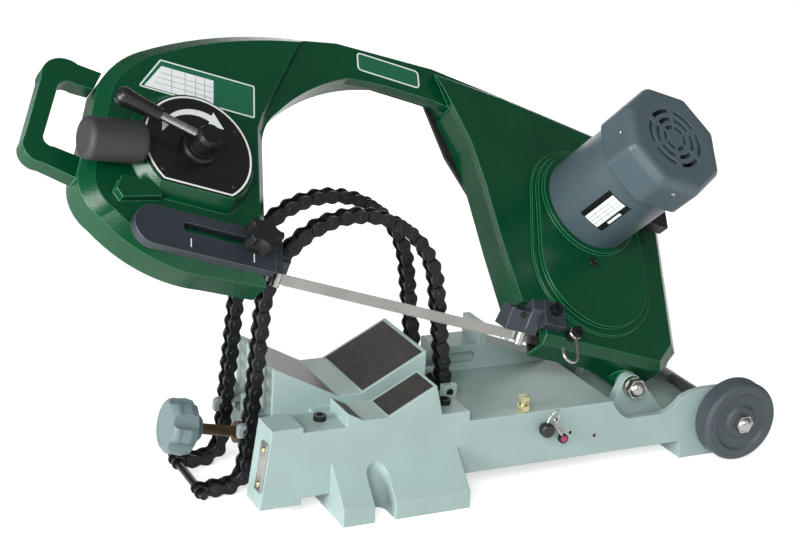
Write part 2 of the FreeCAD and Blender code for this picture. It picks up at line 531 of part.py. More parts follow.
# Pivot, wheels, stops and lock on the base
def make_base_fittings():
    front = -size.ear_front
    rear = front + 2 * size.ear_thick + size.hinge_length + 4 * size.clearance
    shaft = cylinder("pivot_rod", front_to_back(pivot_x, front - size.pivot_nut_height, pivot_z),
                     "pivot_radius", "2 * ear_thick + hinge_length + 4 * clearance + pivot_nut_height + overrun")
    head = hexagon("pivot_head", front_to_back(pivot_x, rear, pivot_z), "pivot_nut_radius",
                   "pivot_head_height")
    keep("pivot_shaft", fuse("pivot_shaft", shaft, head))
    washers = cylinder("pivot_washer_disc", front_to_back(pivot_x, front - size.washer_thick, pivot_z),
                       "washer_radius", "washer_thick")
    hole = cylinder("pivot_washer_hole", front_to_back(pivot_x, front - 2 * size.washer_thick, pivot_z),
                    "pivot_radius + running_fit", "4 * washer_thick")
    keep("pivot_washers", cut("pivot_washers", washers, hole))
    keep("pivot_nut", cap_nut("pivot_nut", V(pivot_x, front - size.washer_thick, pivot_z), V(0, -1, 0),
                              "pivot_nut_radius", "pivot_nut_height", "pivot_radius + running_fit"))
    stop_y = -size.base_front + size.base_wall
    keep("heel_stop", cylinder("heel_stop", front_to_back(pivot_x + size.heel_stop_reach, stop_y,
                                                          size.deck_height - size.heel_stop_drop),
                               "heel_stop_radius", "heel_stop_length"))
    make_cart_wheels()
    x, y, deck = size.stop_bolt_place, -size.stop_bolt_front, size.deck_height
    shank = cylinder("stop_shank", level_at(x, y, deck - size.deck_thick), "stop_bolt_radius",
                     "deck_thick + stop_bolt_top")
    head = hexagon("stop_head", level_at(x, y, deck + size.stop_bolt_top - size.overrun), "stop_head_radius",
                   "stop_head_height")
    keep("stop_bolt", fuse("stop_bolt", shank, head))
    nut = hexagon("stop_nut_body", level_at(x, y, deck), "stop_nut_radius", "stop_nut_height")
    hole = cylinder("stop_nut_hole", level_at(x, y, deck - size.overrun), "stop_bolt_radius + running_fit",
                    "stop_nut_height + 2 * overrun")
    keep("stop_nut", cut("stop_nut", nut, hole))
    knob_y = -size.base_front - size.clearance - size.lock_knob_length
    keep("lock_pin", cylinder("lock_pin", front_to_back(size.lock_place, knob_y + size.lock_knob_length,
                                                        lock_z),
                              "lock_radius", "lock_length"))
    knob = turned("lock_knob", [(0, 0), (size.lock_knob_radius * 0.8, 0),
                                (size.lock_knob_radius, size.lock_radius / 3),
                                (size.lock_knob_radius, size.lock_knob_length * 0.6),
                                (size.lock_radius, size.lock_knob_length), (0, size.lock_knob_length)])
    keep("lock_knob", knob, front_to_back(size.lock_place, knob_y, lock_z))
    slope = math.degrees(math.atan2(size.corner_low_left - size.corner_high_left,
                                    size.corner_height - size.corner_low))
    low = size.corner_low_left - (size.end_plate_low - size.corner_low) * math.tan(math.radians(slope))
    plate = box("end_plate", Placement(V(-low - size.end_plate_thick - size.clearance,
                                         -size.base_front + size.end_plate_inset, size.end_plate_low),
                                       Rotation(V(0, 1, 0), slope)),
                "end_plate_thick", "end_plate_width", "end_plate_length")
    keep("end_plate", plate)


def cap_nut(name, position, direction, radius, height, bore):
    """A hexagon with a domed cap and a blind bore, from names of the sheet."""
    place = along(position, direction)
    high = getattr(size, height)
    dome = getattr(size, radius) * NUT_SHARES["dome"]
    start = high * NUT_SHARES["hexagon"]
    bend = math.sqrt(0.5)
    body = hexagon(name + "_hex", place, radius, "%s * %s" % (height, NUT_SHARES["hexagon"]))
    rows = [(0, start / 2), (dome, start / 2), (dome, start),
            (dome * bend, start + (high - start) * bend, 0, high)]
    cap = put(turned(name + "_cap", rows), place)
    hole = cylinder(name + "_hole", along(position - direction * size.overrun, direction), bore,
                    "%s * %s + overrun" % (height, NUT_SHARES["bore"]))
    return cut(name, fuse(name + "_body", body, cap), hole)


def make_cart_wheels():
    x = pivot_x + size.axle_reach
    r, w = size.cart_wheel_radius, size.cart_wheel_width
    bore = size.axle_radius + 2 * size.running_fit
    dish = w * 0.12
    rows = [(bore, 0), (size.cart_hub_radius, 0), (size.cart_hub_radius + dish, dish), (r * 0.68, dish),
            (r * 0.74, 0), (r * 0.92, 0), (r, w * 0.14, r, w * 0.3), (r, w * 0.7),
            (r, w * 0.86, r * 0.92, w), (r * 0.74, w), (r * 0.68, w - dish),
            (size.cart_hub_radius + dish, w - dish), (size.cart_hub_radius, w), (bore, w)]
    front = -size.base_front - size.wheel_gap - w
    rear = size.base_rear + size.wheel_gap
    for label, y in (("cart_wheel_front", front), ("cart_wheel_rear", rear)):
        keep(label, turned(label, rows), front_to_back(x, y, size.axle_height))
    start = front - size.axle_nut_height / 2
    keep("wheel_axle", cylinder("wheel_axle", front_to_back(x, start, size.axle_height), "axle_radius",
                                "base_front + base_rear + axle_nut_height"
                                " + 2 * wheel_gap + 2 * cart_wheel_width"))
    gap = size.clearance
    nuts = [cap_nut("axle_nut_front", V(x, front - gap, size.axle_height), V(0, -1, 0), "axle_nut_radius",
                    "axle_nut_height", "axle_radius + running_fit"),
            cap_nut("axle_nut_rear", V(x, rear + w + gap, size.axle_height), V(0, 1, 0), "axle_nut_radius",
                    "axle_nut_height", "axle_radius + running_fit")]
    keep("axle_nuts", group("axle_nuts", *nuts))


# Chains over the pipe
def chain_radius():
    return size.pipe_radius + size.chain_height / 2 + size.clearance


def tangent_angle(x, z, sign):
    """Where the straight run to a point leaves the chain's arch, as an angle from the pipe's centre."""
    reach = math.hypot(x, z)
    return math.atan2(z, x) + sign * math.acos(chain_radius() / reach)


def chain_path():
    """Corner points of the chain's centre line in X and Z, the arch as many short chords."""
    r = chain_radius()
    high = pipe_height
    start = tangent_angle(size.anchor_place, anchor_z - high, 1)
    end = tangent_angle(-size.hang_place, hang_z - high, -1) + 2 * math.pi
    steps = 120
    points = [(size.anchor_place, anchor_z)]
    for i in range(steps + 1):
        angle = start + (end - start) * i / steps
        points.append((r * math.cos(angle), high + r * math.sin(angle)))
    floor = size.chain_height / 2
    points += [(-size.hang_place, hang_z), (-size.hang_place - floor / 2, 2.6 * floor),
               (-size.hang_place - 1.6 * floor, 1.3 * floor),
               (-size.hang_place - 3.2 * floor, floor + size.clearance),
               (-size.chain_tail - size.chain_pitch, floor + size.clearance)]
    return points


def chain_pins():
    """Pins one pitch apart along the path."""
    points = chain_path()
    pins = [points[0]]
    here = points[0]
    for a, b in zip(points, points[1:]):
        passed = 0.0
        while math.dist(here, b) >= size.chain_pitch:
            low, high = passed, 1.0
            for _ in range(40):
                mid = (low + high) / 2
                spot = (a[0] + (b[0] - a[0]) * mid, a[1] + (b[1] - a[1]) * mid)
                if math.dist(here, spot) < size.chain_pitch:
                    low = mid
                else:
                    high = mid
            pins.append(spot)
            here = spot
            passed = high
    return [p for p in pins if p[0] > -size.chain_tail - size.roller_radius]


def chain_link(a, b, inner):
    """Two plates, with rollers at both pins on an inner link."""
    half = math.dist(a, b) / 2
    ph = size.chain_height
    quarter = [(half + sx * ph, sy * ph) for sx, sy in PLATE_SHARES]
    outline = quarter + [(-x, y) for x, y in reversed(quarter)] + [(-x, -y) for x, y in quarter]
    outline += [(x, -y) for x, y in reversed(quarter)]
    first = size.chain_inner / 2
    if not inner:
        first += size.chain_plate + size.chain_gap
    solids = []
    for low in (first, -first - size.chain_plate):
        wire = Part.makePolygon([V(x, low, z) for x, z in outline + outline[:1]])
        solids.append(Part.Face(wire).extrude(V(0, size.chain_plate, 0)))
    if inner:
        for x in (-half, half):
            ring = [V(x + size.roller_radius * math.cos(math.pi * k / 4), -first,
                      size.roller_radius * math.sin(math.pi * k / 4)) for k in range(9)]
            solids.append(Part.Face(Part.makePolygon(ring)).extrude(V(0, 2 * first, 0)))
    turn = -math.degrees(math.atan2(b[1] - a[1], b[0] - a[0]))
    spot = Placement(V((a[0] + b[0]) / 2, 0, (a[1] + b[1]) / 2), Rotation(V(0, 1, 0), turn))
    for solid in solids:
        solid.Placement = spot
    return solids


def hook_point():
    """The middle of the chain link that the hook takes."""
    pins = chain_pins()
    middles = [((a[0] + b[0]) / 2, (a[1] + b[1]) / 2) for a, b in zip(pins[1::2], pins[2::2])]
    left = [m for m in middles if m[0] < 0]
    return min(left, key=lambda m: abs(m[1] - hook_z))


def make_chains():
    pins = chain_pins()
    for label, y in (("chain_front", size.chain_front_place), ("chain_rear", size.chain_rear_place)):
        solids = []
        for i, (a, b) in enumerate(zip(pins, pins[1:])):
            solids += chain_link(a, b, i % 2 == 1)
        chain = doc.addObject("Part::Feature", label)
        chain.Shape = Part.makeCompound(solids)
        keep(label, chain, level_at(0, y, 0))
    first = lug_places()[0]
    across = ("chain_rear_place - chain_front_place + chain_inner + 4 * chain_plate + 2 * chain_gap"
              " + 2 * clearance + 2 * lug_thick")
    keep("chain_anchor", cylinder("chain_anchor", front_to_back(size.anchor_place, first, anchor_z),
                                  "anchor_radius", across))
    end = pins[-1]
    keep("chain_bar", cylinder("chain_bar", front_to_back(end[0], first, end[1]), "chain_bar_radius", across))


# Clamp screw with its knob and the hooked yoke
def make_clamp():
    x, high = hook_point()
    thick = size.finger_thick / 2
    outer = -x + size.finger_reach
    low = size.deck_height - size.yoke_deep
    rows = [(-size.yoke_right, high + thick), (-outer, high + thick),
            (-outer - thick, high + thick * 0.7, -outer - 2 * thick, high - thick),
            (-outer - 2 * thick, high - size.hook_drop), (-outer, high - size.hook_drop),
            (-outer, high - thick),
            (-size.yoke_left, high - thick), (-size.yoke_left, low), (-size.yoke_right, low)]
    arms = []
    for i, y in enumerate((size.chain_front_place, size.chain_rear_place)):
        arms.append(extrude("yoke_arm_%d" % i, rows, side_view(y + size.finger_width / 2), "finger_width"))
    bar = box("yoke_bar", level_at(-size.yoke_left, size.chain_front_place - size.finger_width / 2, low),
              "yoke_left - yoke_right", "chain_rear_place - chain_front_place + finger_width",
              "yoke_deep - yoke_shallow")
    thread = cylinder("yoke_thread", screw_axis(size.screw_left), "screw_radius + running_fit", "screw_left")
    keep("hook_yoke", cut("hook_yoke", fuse("yoke_body", bar, *arms), thread))
    rod = cylinder("screw_rod", screw_axis(size.screw_left), "screw_radius",
                   "screw_left - screw_right + 2 * root")
    collar = cylinder("screw_collar", screw_axis(size.collar_place), "clamp_collar_radius",
                      "clamp_collar_length")
    keep("clamp_screw", fuse("clamp_screw", rod, collar))
    make_clamp_knob()


def make_clamp_knob():
    r, length = size.clamp_knob_radius, size.clamp_knob_length
    rows = [(0, 0), (r * 0.62, 0), (r * 0.92, length * 0.06, r * 0.96, length * 0.25), (r, length * 0.5),
            (r * 0.94, length * 0.7), (r * 0.6, length * 0.82), (r * 0.4, length), (0, length)]
    body = turned("clamp_knob_blank", rows)
    flutes = []
    for i in range(int(size.knob_lobes)):
        angle = 2 * math.pi * i / size.knob_lobes
        spot = level_at(r * 1.12 * math.cos(angle), r * 1.12 * math.sin(angle), -size.overrun)
        flutes.append(cylinder("knob_flute_%d" % i, spot, "clamp_knob_radius / 3.2", "clamp_knob_length"))
    bore = cylinder("knob_bore", level_at(0, 0, length / 2), "screw_radius + running_fit",
                    "clamp_knob_length")
    place = screw_axis(size.screw_knob_place)
    place = place.multiply(level(-length / 2))
    keep("clamp_knob", cut("clamp_knob", body, bore, *flutes), place)


# The arm's casting, in its leaning plane
def make_arm():
    base, face = size.bridge_level, size.face_level
    plate = extrude("arm_plate", arm_rows(ARM_SHARES), level(-size.arm_rear), "arm_rear + bridge_level")
    left = loft("arm_left", arm_rows(LEFT_LOW_SHARES), arm_rows(LEFT_HIGH_SHARES), base, face)
    right = loft("arm_right", arm_rows(RIGHT_LOW_SHARES), arm_rows(RIGHT_HIGH_SHARES), base, face)
    lip = extrude("arm_lip", arm_rows(LIP_SHARES), level(size.lip_level), "bridge_level - lip_level")
    tension = loft("arm_tension", arm_rows(TENSION_LOW_SHARES), arm_rows(TENSION_HIGH_SHARES), face,
                   size.tension_top)
    boss = extrude("arm_boss", arm_rows(BOSS_SHARES), level(face), "boss_top - face_level")
    rows = arm_rows(HANDLE_OUTER_SHARES + reverse_rows(HANDLE_INNER_SHARES))
    handle = extrude("arm_handle", rows, level(-size.handle_rear), "handle_rear + handle_front")
    low = drive + V(0, PAD_SHARES["drop"] * unit, 0)
    steps = []
    for name, height in (("outer", "pad_step"), ("inner", "pad_top - face_level")):
        below, above = [share * unit for share in PAD_SHARES[name]]
        steps.append(extrude("gear_pad_" + name, capsule_rows(low, below, motor, above), level(face), height))
    seat = cylinder("motor_seat", level_at(motor.x, motor.y, size.pad_top), "seat_radius",
                    "motor_low - pad_top")
    body = fuse("arm_body", plate, left, right, lip, tension, boss, handle, *steps, seat, *make_barrel())
    keep("arm_frame", cut("arm_frame", body, *arm_pockets()), arm_place)


def reverse_rows(rows):
    """The same outline, run the other way."""
    ends = [row[-2:] for row in rows]
    found = [ends[-1]]
    for i in range(len(rows) - 1, 0, -1):
        found.append(rows[i][:2] + ends[i - 1] if len(rows[i]) == 4 else ends[i - 1])
    return found


def in_blade_frame(thing):
    """Carry an upright piece into the arm's leaning axes."""
    thing.Placement = Placement(V(0, 0, 0), Rotation(V(1, 0, 0), -size.arm_lean)).multiply(thing.Placement)
    return thing


def make_barrel():
    """The hinge barrel below the heel and the web that joins it to the casting."""
    drop = -size.pivot_drop
    start = -size.ear_front + size.ear_thick + 2 * size.clearance
    end = start + size.hinge_length
    barrel = cylinder("hinge_barrel", front_to_back(size.pivot_reach, start, drop), "barrel_radius",
                      "hinge_length")
    rear = size.arm_rear * math.sqrt(2)
    root = size.root
    rows = [(start + root, drop + 2 * root), (end, drop), (end, end - rear - root),
            (end * 0.9, end * 0.9 - rear + size.overrun), (0, drop + 3 * root)]
    web = extrude("hinge_web", rows, end_view(size.pivot_reach - size.web_width / 2), "web_width")
    return [in_blade_frame(barrel), in_blade_frame(web)]


def tangent_runs():
    """The blade's two upper straight runs, as pairs of end points."""
    small = size.wheel_radius + size.blade_gap + size.blade_thick / 2
    runs = []
    for wheel, side in ((idler, -1), (drive, 1)):
        gap = shoe - wheel
        base = math.atan2(gap.y, -side * gap.x)
        slope = base + math.asin((size.shoe_radius - small) / math.hypot(gap.x, gap.y))
        normal = V(side * math.sin(slope), math.cos(slope), 0)
        runs.append((wheel + normal * small, shoe + normal * size.shoe_radius, normal))
    return runs


def arm_pockets():
    """Hollows for the wheels, the blade's return channel, gears, tension block, pivot and studs."""
    deep = level(-size.arm_rear - size.overrun)
    tools = []
    exits = {"idler": "wheel_radius * %s" % -HUB_SHARES["idler"],
             "drive": "pivot_reach - wheel_radius * %s" % (PIVOT_SHARE - HUB_SHARES["drive"])}
    for name, wheel in (("idler", idler), ("drive", drive)):
        tools.append(cylinder(name + "_pocket", level_at(wheel.x, wheel.y, deep.Base.z),
                              "wheel_radius + wheel_room", "arm_rear + overrun + pocket_level"))
        tools.append(box(name + "_exit", level_at(min(wheel.x, 0), -size.blade_width, deep.Base.z),
                         exits[name], "2 * blade_width", "arm_rear + overrun + pocket_level"))
    room = size.channel_room
    channel = "arm_rear + overrun + blade_width"
    for i, (a, b, normal) in enumerate(tangent_runs()):
        rows = [tuple(p)[:2] for p in (a - normal * room, a + normal * room, b + normal * room,
                                       b - normal * room)]
        tools.append(extrude("channel_run_%d" % i, rows, deep, channel))
    tools.append(extrude("channel_arch", arch_rows(-size.shoe_thick - size.overrun, room), deep, channel))
    gear_tip = size.tooth_addendum * (size.gear_teeth / 2 + 1) + size.gear_room
    pinion_tip = size.tooth_addendum * (size.pinion_teeth / 2 + 1) + size.gear_room
    tools.append(extrude("gear_pocket", capsule_rows(drive, gear_tip, motor, pinion_tip),
                         level(-size.overrun), "gear_low + gear_width + gear_room + overrun"))
    tools.append(cylinder("bush_bore", level_at(drive.x, drive.y, 0), "bush_radius",
                          "gear_low + gear_width + gear_room + bush_length"))
    tools.append(cylinder("motor_bore", level_at(motor.x, motor.y, 0), "motor_shaft_radius + clearance",
                          "motor_low + overrun"))
    turn = Rotation(V(0, 0, 1), size.tension_angle)
    corner = turn.multVec(V(-size.carriage_length / 2 - size.root, -size.carriage_width / 2 - size.clearance,
                            0))
    tools.append(box("carriage_pocket", Placement(idler + corner, turn),
                     "carriage_length + carriage_travel + 2 * root", "carriage_width + 2 * clearance",
                     "carriage_high + overrun"))
    pivot = cylinder("arm_pivot_bore", front_to_back(size.pivot_reach, -size.base_front, -size.pivot_drop),
                     "pivot_radius + running_fit", "base_front + base_rear")
    tools.append(in_blade_frame(pivot))
    tools.append(cylinder("stud_bore", level_at(stud_u, stud_v,
                                                size.face_level - size.stud_depth - size.overrun),
                          "stud_radius + running_fit", "stud_depth + 2 * overrun"))
    tools.append(cylinder("spring_seat", spring_place(), "spring_cap_radius + clearance",
                          "spring_cap_length + 2 * clearance"))
    foot = lever_centre(size.tension_top - size.lever_foot - size.overrun)
    tools.append(cylinder("lever_bore", Placement(foot, Rotation()), "lever_neck_radius / 2 + running_fit",
                          "lever_foot + 3 * overrun"))
    return tools


def arch_rows(inner, outer):
    """A strip that follows the blade over the return shoe."""
    left, right = tangent_runs()
    top = V(0, 1, 0)
    a, b = left[2], right[2]
    low, high = size.shoe_radius + inner, size.shoe_radius + outer
    points = [shoe + a * high, shoe + top * high, shoe + b * high, shoe + b * low, shoe + top * low,
              shoe + a * low]
    p = [(q.x, q.y) for q in points]
    return [p[0], p[1] + p[2], p[3], p[4] + p[5]]


def spring_place():
    """The tension spring's axis, which lies on the arm's face and tilts with the blade's pull."""
    tilt = math.radians(size.tension_angle)
    left = V(HUB_SHARES["spring"][0] * unit, HUB_SHARES["spring"][1] * unit,
             size.face_level + size.spring_cap_radius + 2 * size.clearance)
    return along(left, V(math.cos(tilt), math.sin(tilt), 0))


def lever_centre(height):
    return V(HUB_SHARES["lever"][0] * unit, HUB_SHARES["lever"][1] * unit, height)


# Covers and plates on the arm
def make_arm_covers():
    cover = extrude("rear_cover", arm_rows(COVER_SHARES), level(-size.arm_rear - size.cover_thick),
                    "cover_thick")
    keep("rear_cover", cover, arm_place)
    x, y = [share * unit for share in HUB_SHARES["disc"]]
    flat = HUB_SHARES["disc"][1] * unit - size.disc_radius * 0.78
    half = math.sqrt(size.disc_radius ** 2 - (y - flat) ** 2)
    rows = [(x - half, flat), (x, y + size.disc_radius, x + half, flat)]
    disc = extrude("disc_body", rows, level(size.tension_top), "disc_thick")
    hole = cylinder("disc_hole_cut", Placement(lever_centre(size.tension_top - size.overrun), Rotation()),
                    "disc_hole", "disc_thick + 2 * overrun")
    keep("disc_plate", cut("disc_plate", disc, hole), arm_place)
    r, length = size.spring_cap_radius, size.spring_cap_length
    cap = turned("spring_cap", [(0, 0), (r * 0.70, 0), (r * 0.91, r * 0.09, r, r * 0.30),
                                (r, length - r * 0.30),
                                (r * 0.91, length - r * 0.09, r * 0.70, length), (0, length)])
    keep("spring_cap", cap, arm_place.multiply(spring_place()))
    strip = extrude("return_shoe", arch_rows(-size.shoe_thick - size.blade_gap,
                                             -size.blade_gap - size.blade_thick / 2),
                    level(-size.shoe_width / 2), "shoe_width")
    keep("return_shoe", strip, arm_place)


# Blade tension lever, sliding block and tension wheel
def make_tension():
    base = size.tension_top + size.disc_thick + size.clearance
    top = size.lever_top
    foot = size.tension_top - size.lever_foot - base
    hub = turned("lever_hub", [(0, foot), (size.lever_neck_radius / 2, foot),
                               (size.lever_neck_radius / 2, 0), (size.lever_hub_radius, 0),
                               (size.lever_hub_radius, size.lever_hub_height * 0.7),
                               (size.lever_hub_radius * 0.9, size.lever_hub_height),
                               (size.lever_neck_radius, size.lever_hub_height),
                               (size.lever_neck_radius, top - base - size.lever_cap_height),
                               (size.lever_cap_radius, top - base), (0, top - base)])
    keep("lever_hub", hub, arm_place.multiply(Placement(lever_centre(base), Rotation())))
    angle = math.radians(size.lever_angle)
    out = V(math.cos(angle), math.sin(angle), 0)
    start = lever_centre(size.lever_level) + out * size.lever_neck_radius
    keep("lever_rod", cylinder("lever_rod", along(start, out), "lever_rod_radius", "lever_rod_length"),
         arm_place)
    small, large, length = size.grip_small, size.grip_large, size.lever_grip_length
    grip = turned("lever_grip", [(0, 0), (small, 0), (large, length * 0.75),
                                 (large * 0.95, length * 0.93, large * 0.6, length), (0, length)])
    keep("lever_grip", grip, arm_place.multiply(along(start + out * size.lever_rod_length, out)))
    turn = Rotation(V(0, 0, 1), size.tension_angle)
    corner = turn.multVec(V(-size.carriage_length / 2, -size.carriage_width / 2, 0))
    block = box("carriage_block", Placement(idler + corner + V(0, 0, size.carriage_low), turn),
                "carriage_length", "carriage_width", "carriage_high - carriage_low")
    hole = cylinder("carriage_bore", Placement(idler, Rotation()), "idler_axle_radius", "2 * carriage_high")
    keep("idler_carriage", cut("idler_carriage", block, hole), arm_place)
    pin = cylinder("idler_axle", Placement(idler + V(0, 0, -size.wheel_width * 0.75), Rotation()),
                   "idler_axle_radius", "carriage_high + wheel_width * 0.75")
    keep("idler_axle", pin, arm_place)
    keep("idler_wheel", band_wheel("idler_wheel", size.idler_axle_radius + size.running_fit),
         arm_place.multiply(Placement(idler, Rotation())))


def band_wheel(label, bore):
    """A rim, web and hub, centred on the blade's plane."""
    half, r = size.wheel_width / 2, size.wheel_radius
    web = size.web_thick / 2
    inner = r - size.rim_thick
    rows = [(bore, -half), (size.hub_radius, -half), (size.hub_radius, -web), (inner, -web), (inner, -half),
            (r, -half), (r, half), (inner, half), (inner, web), (size.hub_radius, web),
            (size.hub_radius, half * 1.4), (bore, half * 1.4)]
    return turned(label, rows)


# Drive wheel with its shaft and gear, and the motor
def gear_rows(teeth, shift):
    """A spur gear's outline with straight flanks."""
    pitch = size.tooth_addendum * teeth / 2
    rows = []
    for k in range(int(teeth)):
        middle = 2 * math.pi * (k + shift) / teeth
        flank = [(pitch + size.tooth_addendum * depth, size.tooth_addendum * half)
                 for depth, half in TOOTH_SHARES]
        for radius, half in flank:
            angle = middle - half / radius
            rows.append((radius * math.cos(angle), radius * math.sin(angle)))
        for radius, half in reversed(flank):
            angle = middle + half / radius
            rows.append((radius * math.cos(angle), radius * math.sin(angle)))
    return rows


def make_gear(label, teeth, shift, centre, bore):
    place = Placement(V(0, 0, size.gear_low), Rotation())
    blank = extrude(label + "_blank", gear_rows(teeth, shift), place, "gear_width")
    hole = cylinder(label + "_hole", Placement(V(0, 0, 0), Rotation()), bore, "2 * face_level")
    keep(label, cut(label, blank, hole), arm_place.multiply(Placement(centre, Rotation())))


def make_drive():
    on_drive = arm_place.multiply(Placement(drive, Rotation()))
    keep("drive_wheel", band_wheel("drive_wheel", size.drive_shaft_radius), on_drive)
    shaft = cylinder("drive_shaft", level_at(drive.x, drive.y, -size.wheel_width * 0.8), "drive_shaft_radius",
                     "wheel_width * 0.8 + gear_low + gear_width + gear_room + bush_length - overrun")
    keep("drive_shaft", shaft, arm_place)
    make_gear("drive_gear", size.gear_teeth, 0.0, drive, "drive_shaft_radius")
    base = size.gear_low + size.gear_width + size.gear_room
    ring = cylinder("bush_ring", level_at(drive.x, drive.y, base), "bush_radius", "bush_length")
    hole = cylinder("bush_hole", level_at(drive.x, drive.y, base - size.overrun),
                    "drive_shaft_radius + running_fit", "bush_length + 2 * overrun")
    keep("drive_bush", cut("drive_bush", ring, hole), arm_place)


def make_motor():
    on_motor = arm_place.multiply(Placement(motor, Rotation()))
    low, high, wall = size.motor_low, size.motor_high, size.motor_wall
    r = size.motor_radius
    bore = size.motor_shaft_radius + size.running_fit
    rows = [(bore, low), (r, low), (r, high - wall), (r - wall / 2, high), (bore, high), (bore, high - wall),
            (r - wall, high - wall), (r - wall, low + wall), (bore, low + wall)]
    keep("motor_housing", turned("motor_housing", rows), on_motor)
    middle = size.rotor_low + size.rotor_length / 2
    half = size.stator_length / 2
    inner = size.rotor_radius + size.air_gap
    keep("motor_stator", turned("motor_stator", [(inner, middle - half), (r - wall, middle - half),
                                                 (r - wall, middle + half),
                                                 (inner, middle + half)]), on_motor)
    keep("motor_rotor", turned("motor_rotor", [(size.motor_shaft_radius, size.rotor_low),
                                               (size.rotor_radius, size.rotor_low),
                                               (size.rotor_radius, size.rotor_low + size.rotor_length),
                                               (size.motor_shaft_radius,
                                                size.rotor_low + size.rotor_length)]), on_motor)
    start = size.gear_low - size.overrun
    keep("motor_shaft", cylinder("motor_shaft", Placement(V(0, 0, start), Rotation()), "motor_shaft_radius",
                                 "motor_shaft_top - gear_low + overrun"), on_motor)
    make_gear("motor_pinion", size.pinion_teeth, 0.5, motor, "motor_shaft_radius")
    make_fan(on_motor)
    make_fan_cover(on_motor)
    gland = box("gland_body", level_at(motor.x, motor.y - size.gland_drop, low), "gland_reach", "gland_width",
                "gland_height")
    seat = cylinder("gland_seat", level_at(motor.x, motor.y, 0), "motor_radius + running_fit", "motor_high")
    keep("motor_gland", cut("motor_gland", gland, seat), arm_place)


def make_fan(place):
    hub = cylinder("fan_hub", level(size.fan_low), "fan_hub_radius", "fan_height")
    blades = []
    for k in range(int(size.fan_blades)):
        turn = Rotation(V(0, 0, 1), 360 * k / size.fan_blades)
        corner = turn.multVec(V(size.fan_hub_radius - size.root, -size.fan_blade / 2, size.fan_low))
        blades.append(box("fan_blade_%d" % k, Placement(corner, turn), "fan_radius - fan_hub_radius + root",
                          "fan_blade", "fan_height"))
    hole = cylinder("fan_hole", level(size.fan_low - size.overrun), "motor_shaft_radius",
                    "fan_height + 2 * overrun")
    keep("cooling_fan", cut("cooling_fan", fuse("fan_body", hub, *blades), hole), place)


def octagon_rows(apothem):
    reach = apothem / math.cos(math.pi / 8)
    return [(reach * math.cos(math.pi * (k + 0.5) / 4),
             reach * math.sin(math.pi * (k + 0.5) / 4)) for k in range(8)]


def make_fan_cover(place):
    """An eight-sided cup whose end has rings of slots between spokes."""
    body = doc.addObject("PartDesign::Body", "fan_cover")
    shell = body.newObject("PartDesign::Pad", "fan_cover_shell")
    shell.Profile = body_sketch(body, "XY_Plane", octagon_rows(size.cover_apothem), size.cover_low)
    bind(shell, Length="cover_high - cover_low")
    doc.recompute()
    rim = ["Edge%d" % i for i, edge in enumerate(shell.Shape.Edges, start=1)
           if max(p.Point.z for p in edge.Vertexes) > size.cover_high - size.overrun]
    rounded = body.newObject("PartDesign::Fillet", "fan_cover_round")
    rounded.Base = (shell, rim)
    bind(rounded, Radius="cover_round")
    hollow = body.newObject("PartDesign::Pocket", "fan_cover_hollow")
    hollow.Profile = body_sketch(body, "XY_Plane", octagon_rows(size.cover_apothem - size.cover_wall),
                                 size.cover_low)
    hollow.Reversed = True
    bind(hollow, Length="cover_high - cover_low - cover_round")
    doc.recompute()
    spoke = math.radians(180 / size.grille_spokes) * 0.8
    last = hollow
    for ring in range(3):
        low = size.grille_inner + ring * size.slot_pitch
        slot = body.newObject("PartDesign::Pocket", "fan_slot_%d" % ring)
        slot.Profile = body_sketch(body, "XY_Plane", sector_rows(low, low + size.slot_width, spoke),
                                   size.cover_high + size.overrun)
        bind(slot, Length="cover_round + 2 * overrun")
        doc.recompute()
        spin = body.newObject("PartDesign::PolarPattern", "fan_slots_%d" % ring)
        spin.Originals = [slot]
        spin.Axis = (slot.Profile[0], ["N_Axis"])
        spin.Angle = 360
        spin.Occurrences = int(size.grille_spokes)
        body.Tip = spin
        doc.recompute()
        last = spin
    body.Tip = last
    keep("fan_cover", body, place)


def sector_rows(low, high, half):
    c, s = math.cos(half), math.sin(half)
    return [(low * c, -low * s), (high * c, -high * s), (high, 0, high * c, high * s), (low * c, low * s),
            (low, 0, low * c, -low * s)]


# The blade loop: flat on the wheels and the shoe, upright between the guides
def make_blade():
    half, width = size.blade_thick / 2, size.blade_width
    left, right = tangent_runs()
    loops = []
    for offset in (-half, half):
        small = axle_v + offset
        away = V(-1, 0, 0)
        points = [Part.Arc(V(idler.x, axle_v - small, 0), idler + away * small, idler + left[2] * small),
                  Part.LineSegment(idler + left[2] * small, shoe + left[2] * (size.shoe_radius + offset)),
                  Part.Arc(shoe + left[2] * (size.shoe_radius + offset),
                           shoe + V(0, size.shoe_radius + offset, 0),
                           shoe + right[2] * (size.shoe_radius + offset)),
                  Part.LineSegment(shoe + right[2] * (size.shoe_radius + offset), drive + right[2] * small),
                  Part.Arc(drive + right[2] * small, drive - away * small, V(drive.x, axle_v - small, 0))]
        loops.append([p.toShape() for p in points])
    ends = [Part.LineSegment(V(x, -half, 0), V(x, half, 0)).toShape() for x in (idler.x, drive.x)]
    wire = Part.Wire(Part.__sortEdges__(loops[0] + loops[1] + ends))
    loop = Part.Face(wire)
    loop.translate(V(0, 0, -width / 2))
    solids = [loop.extrude(V(0, 0, width))]
    solids.append(twist(idler.x, guide_left))
    upright = Part.makeBox(guide_right - guide_left, size.blade_thick, width,
                           V(guide_left, -half, -width / 2))
    upright.rotate(V(0, 0, 0), V(1, 0, 0), -size.arm_lean)
    solids.append(upright)
    solids.append(twist(drive.x, guide_right))
    blade = doc.addObject("Part::Feature", "saw_blade")
    blade.Shape = solids[0].multiFuse(solids[1:])
    keep("saw_blade", blade, arm_place)


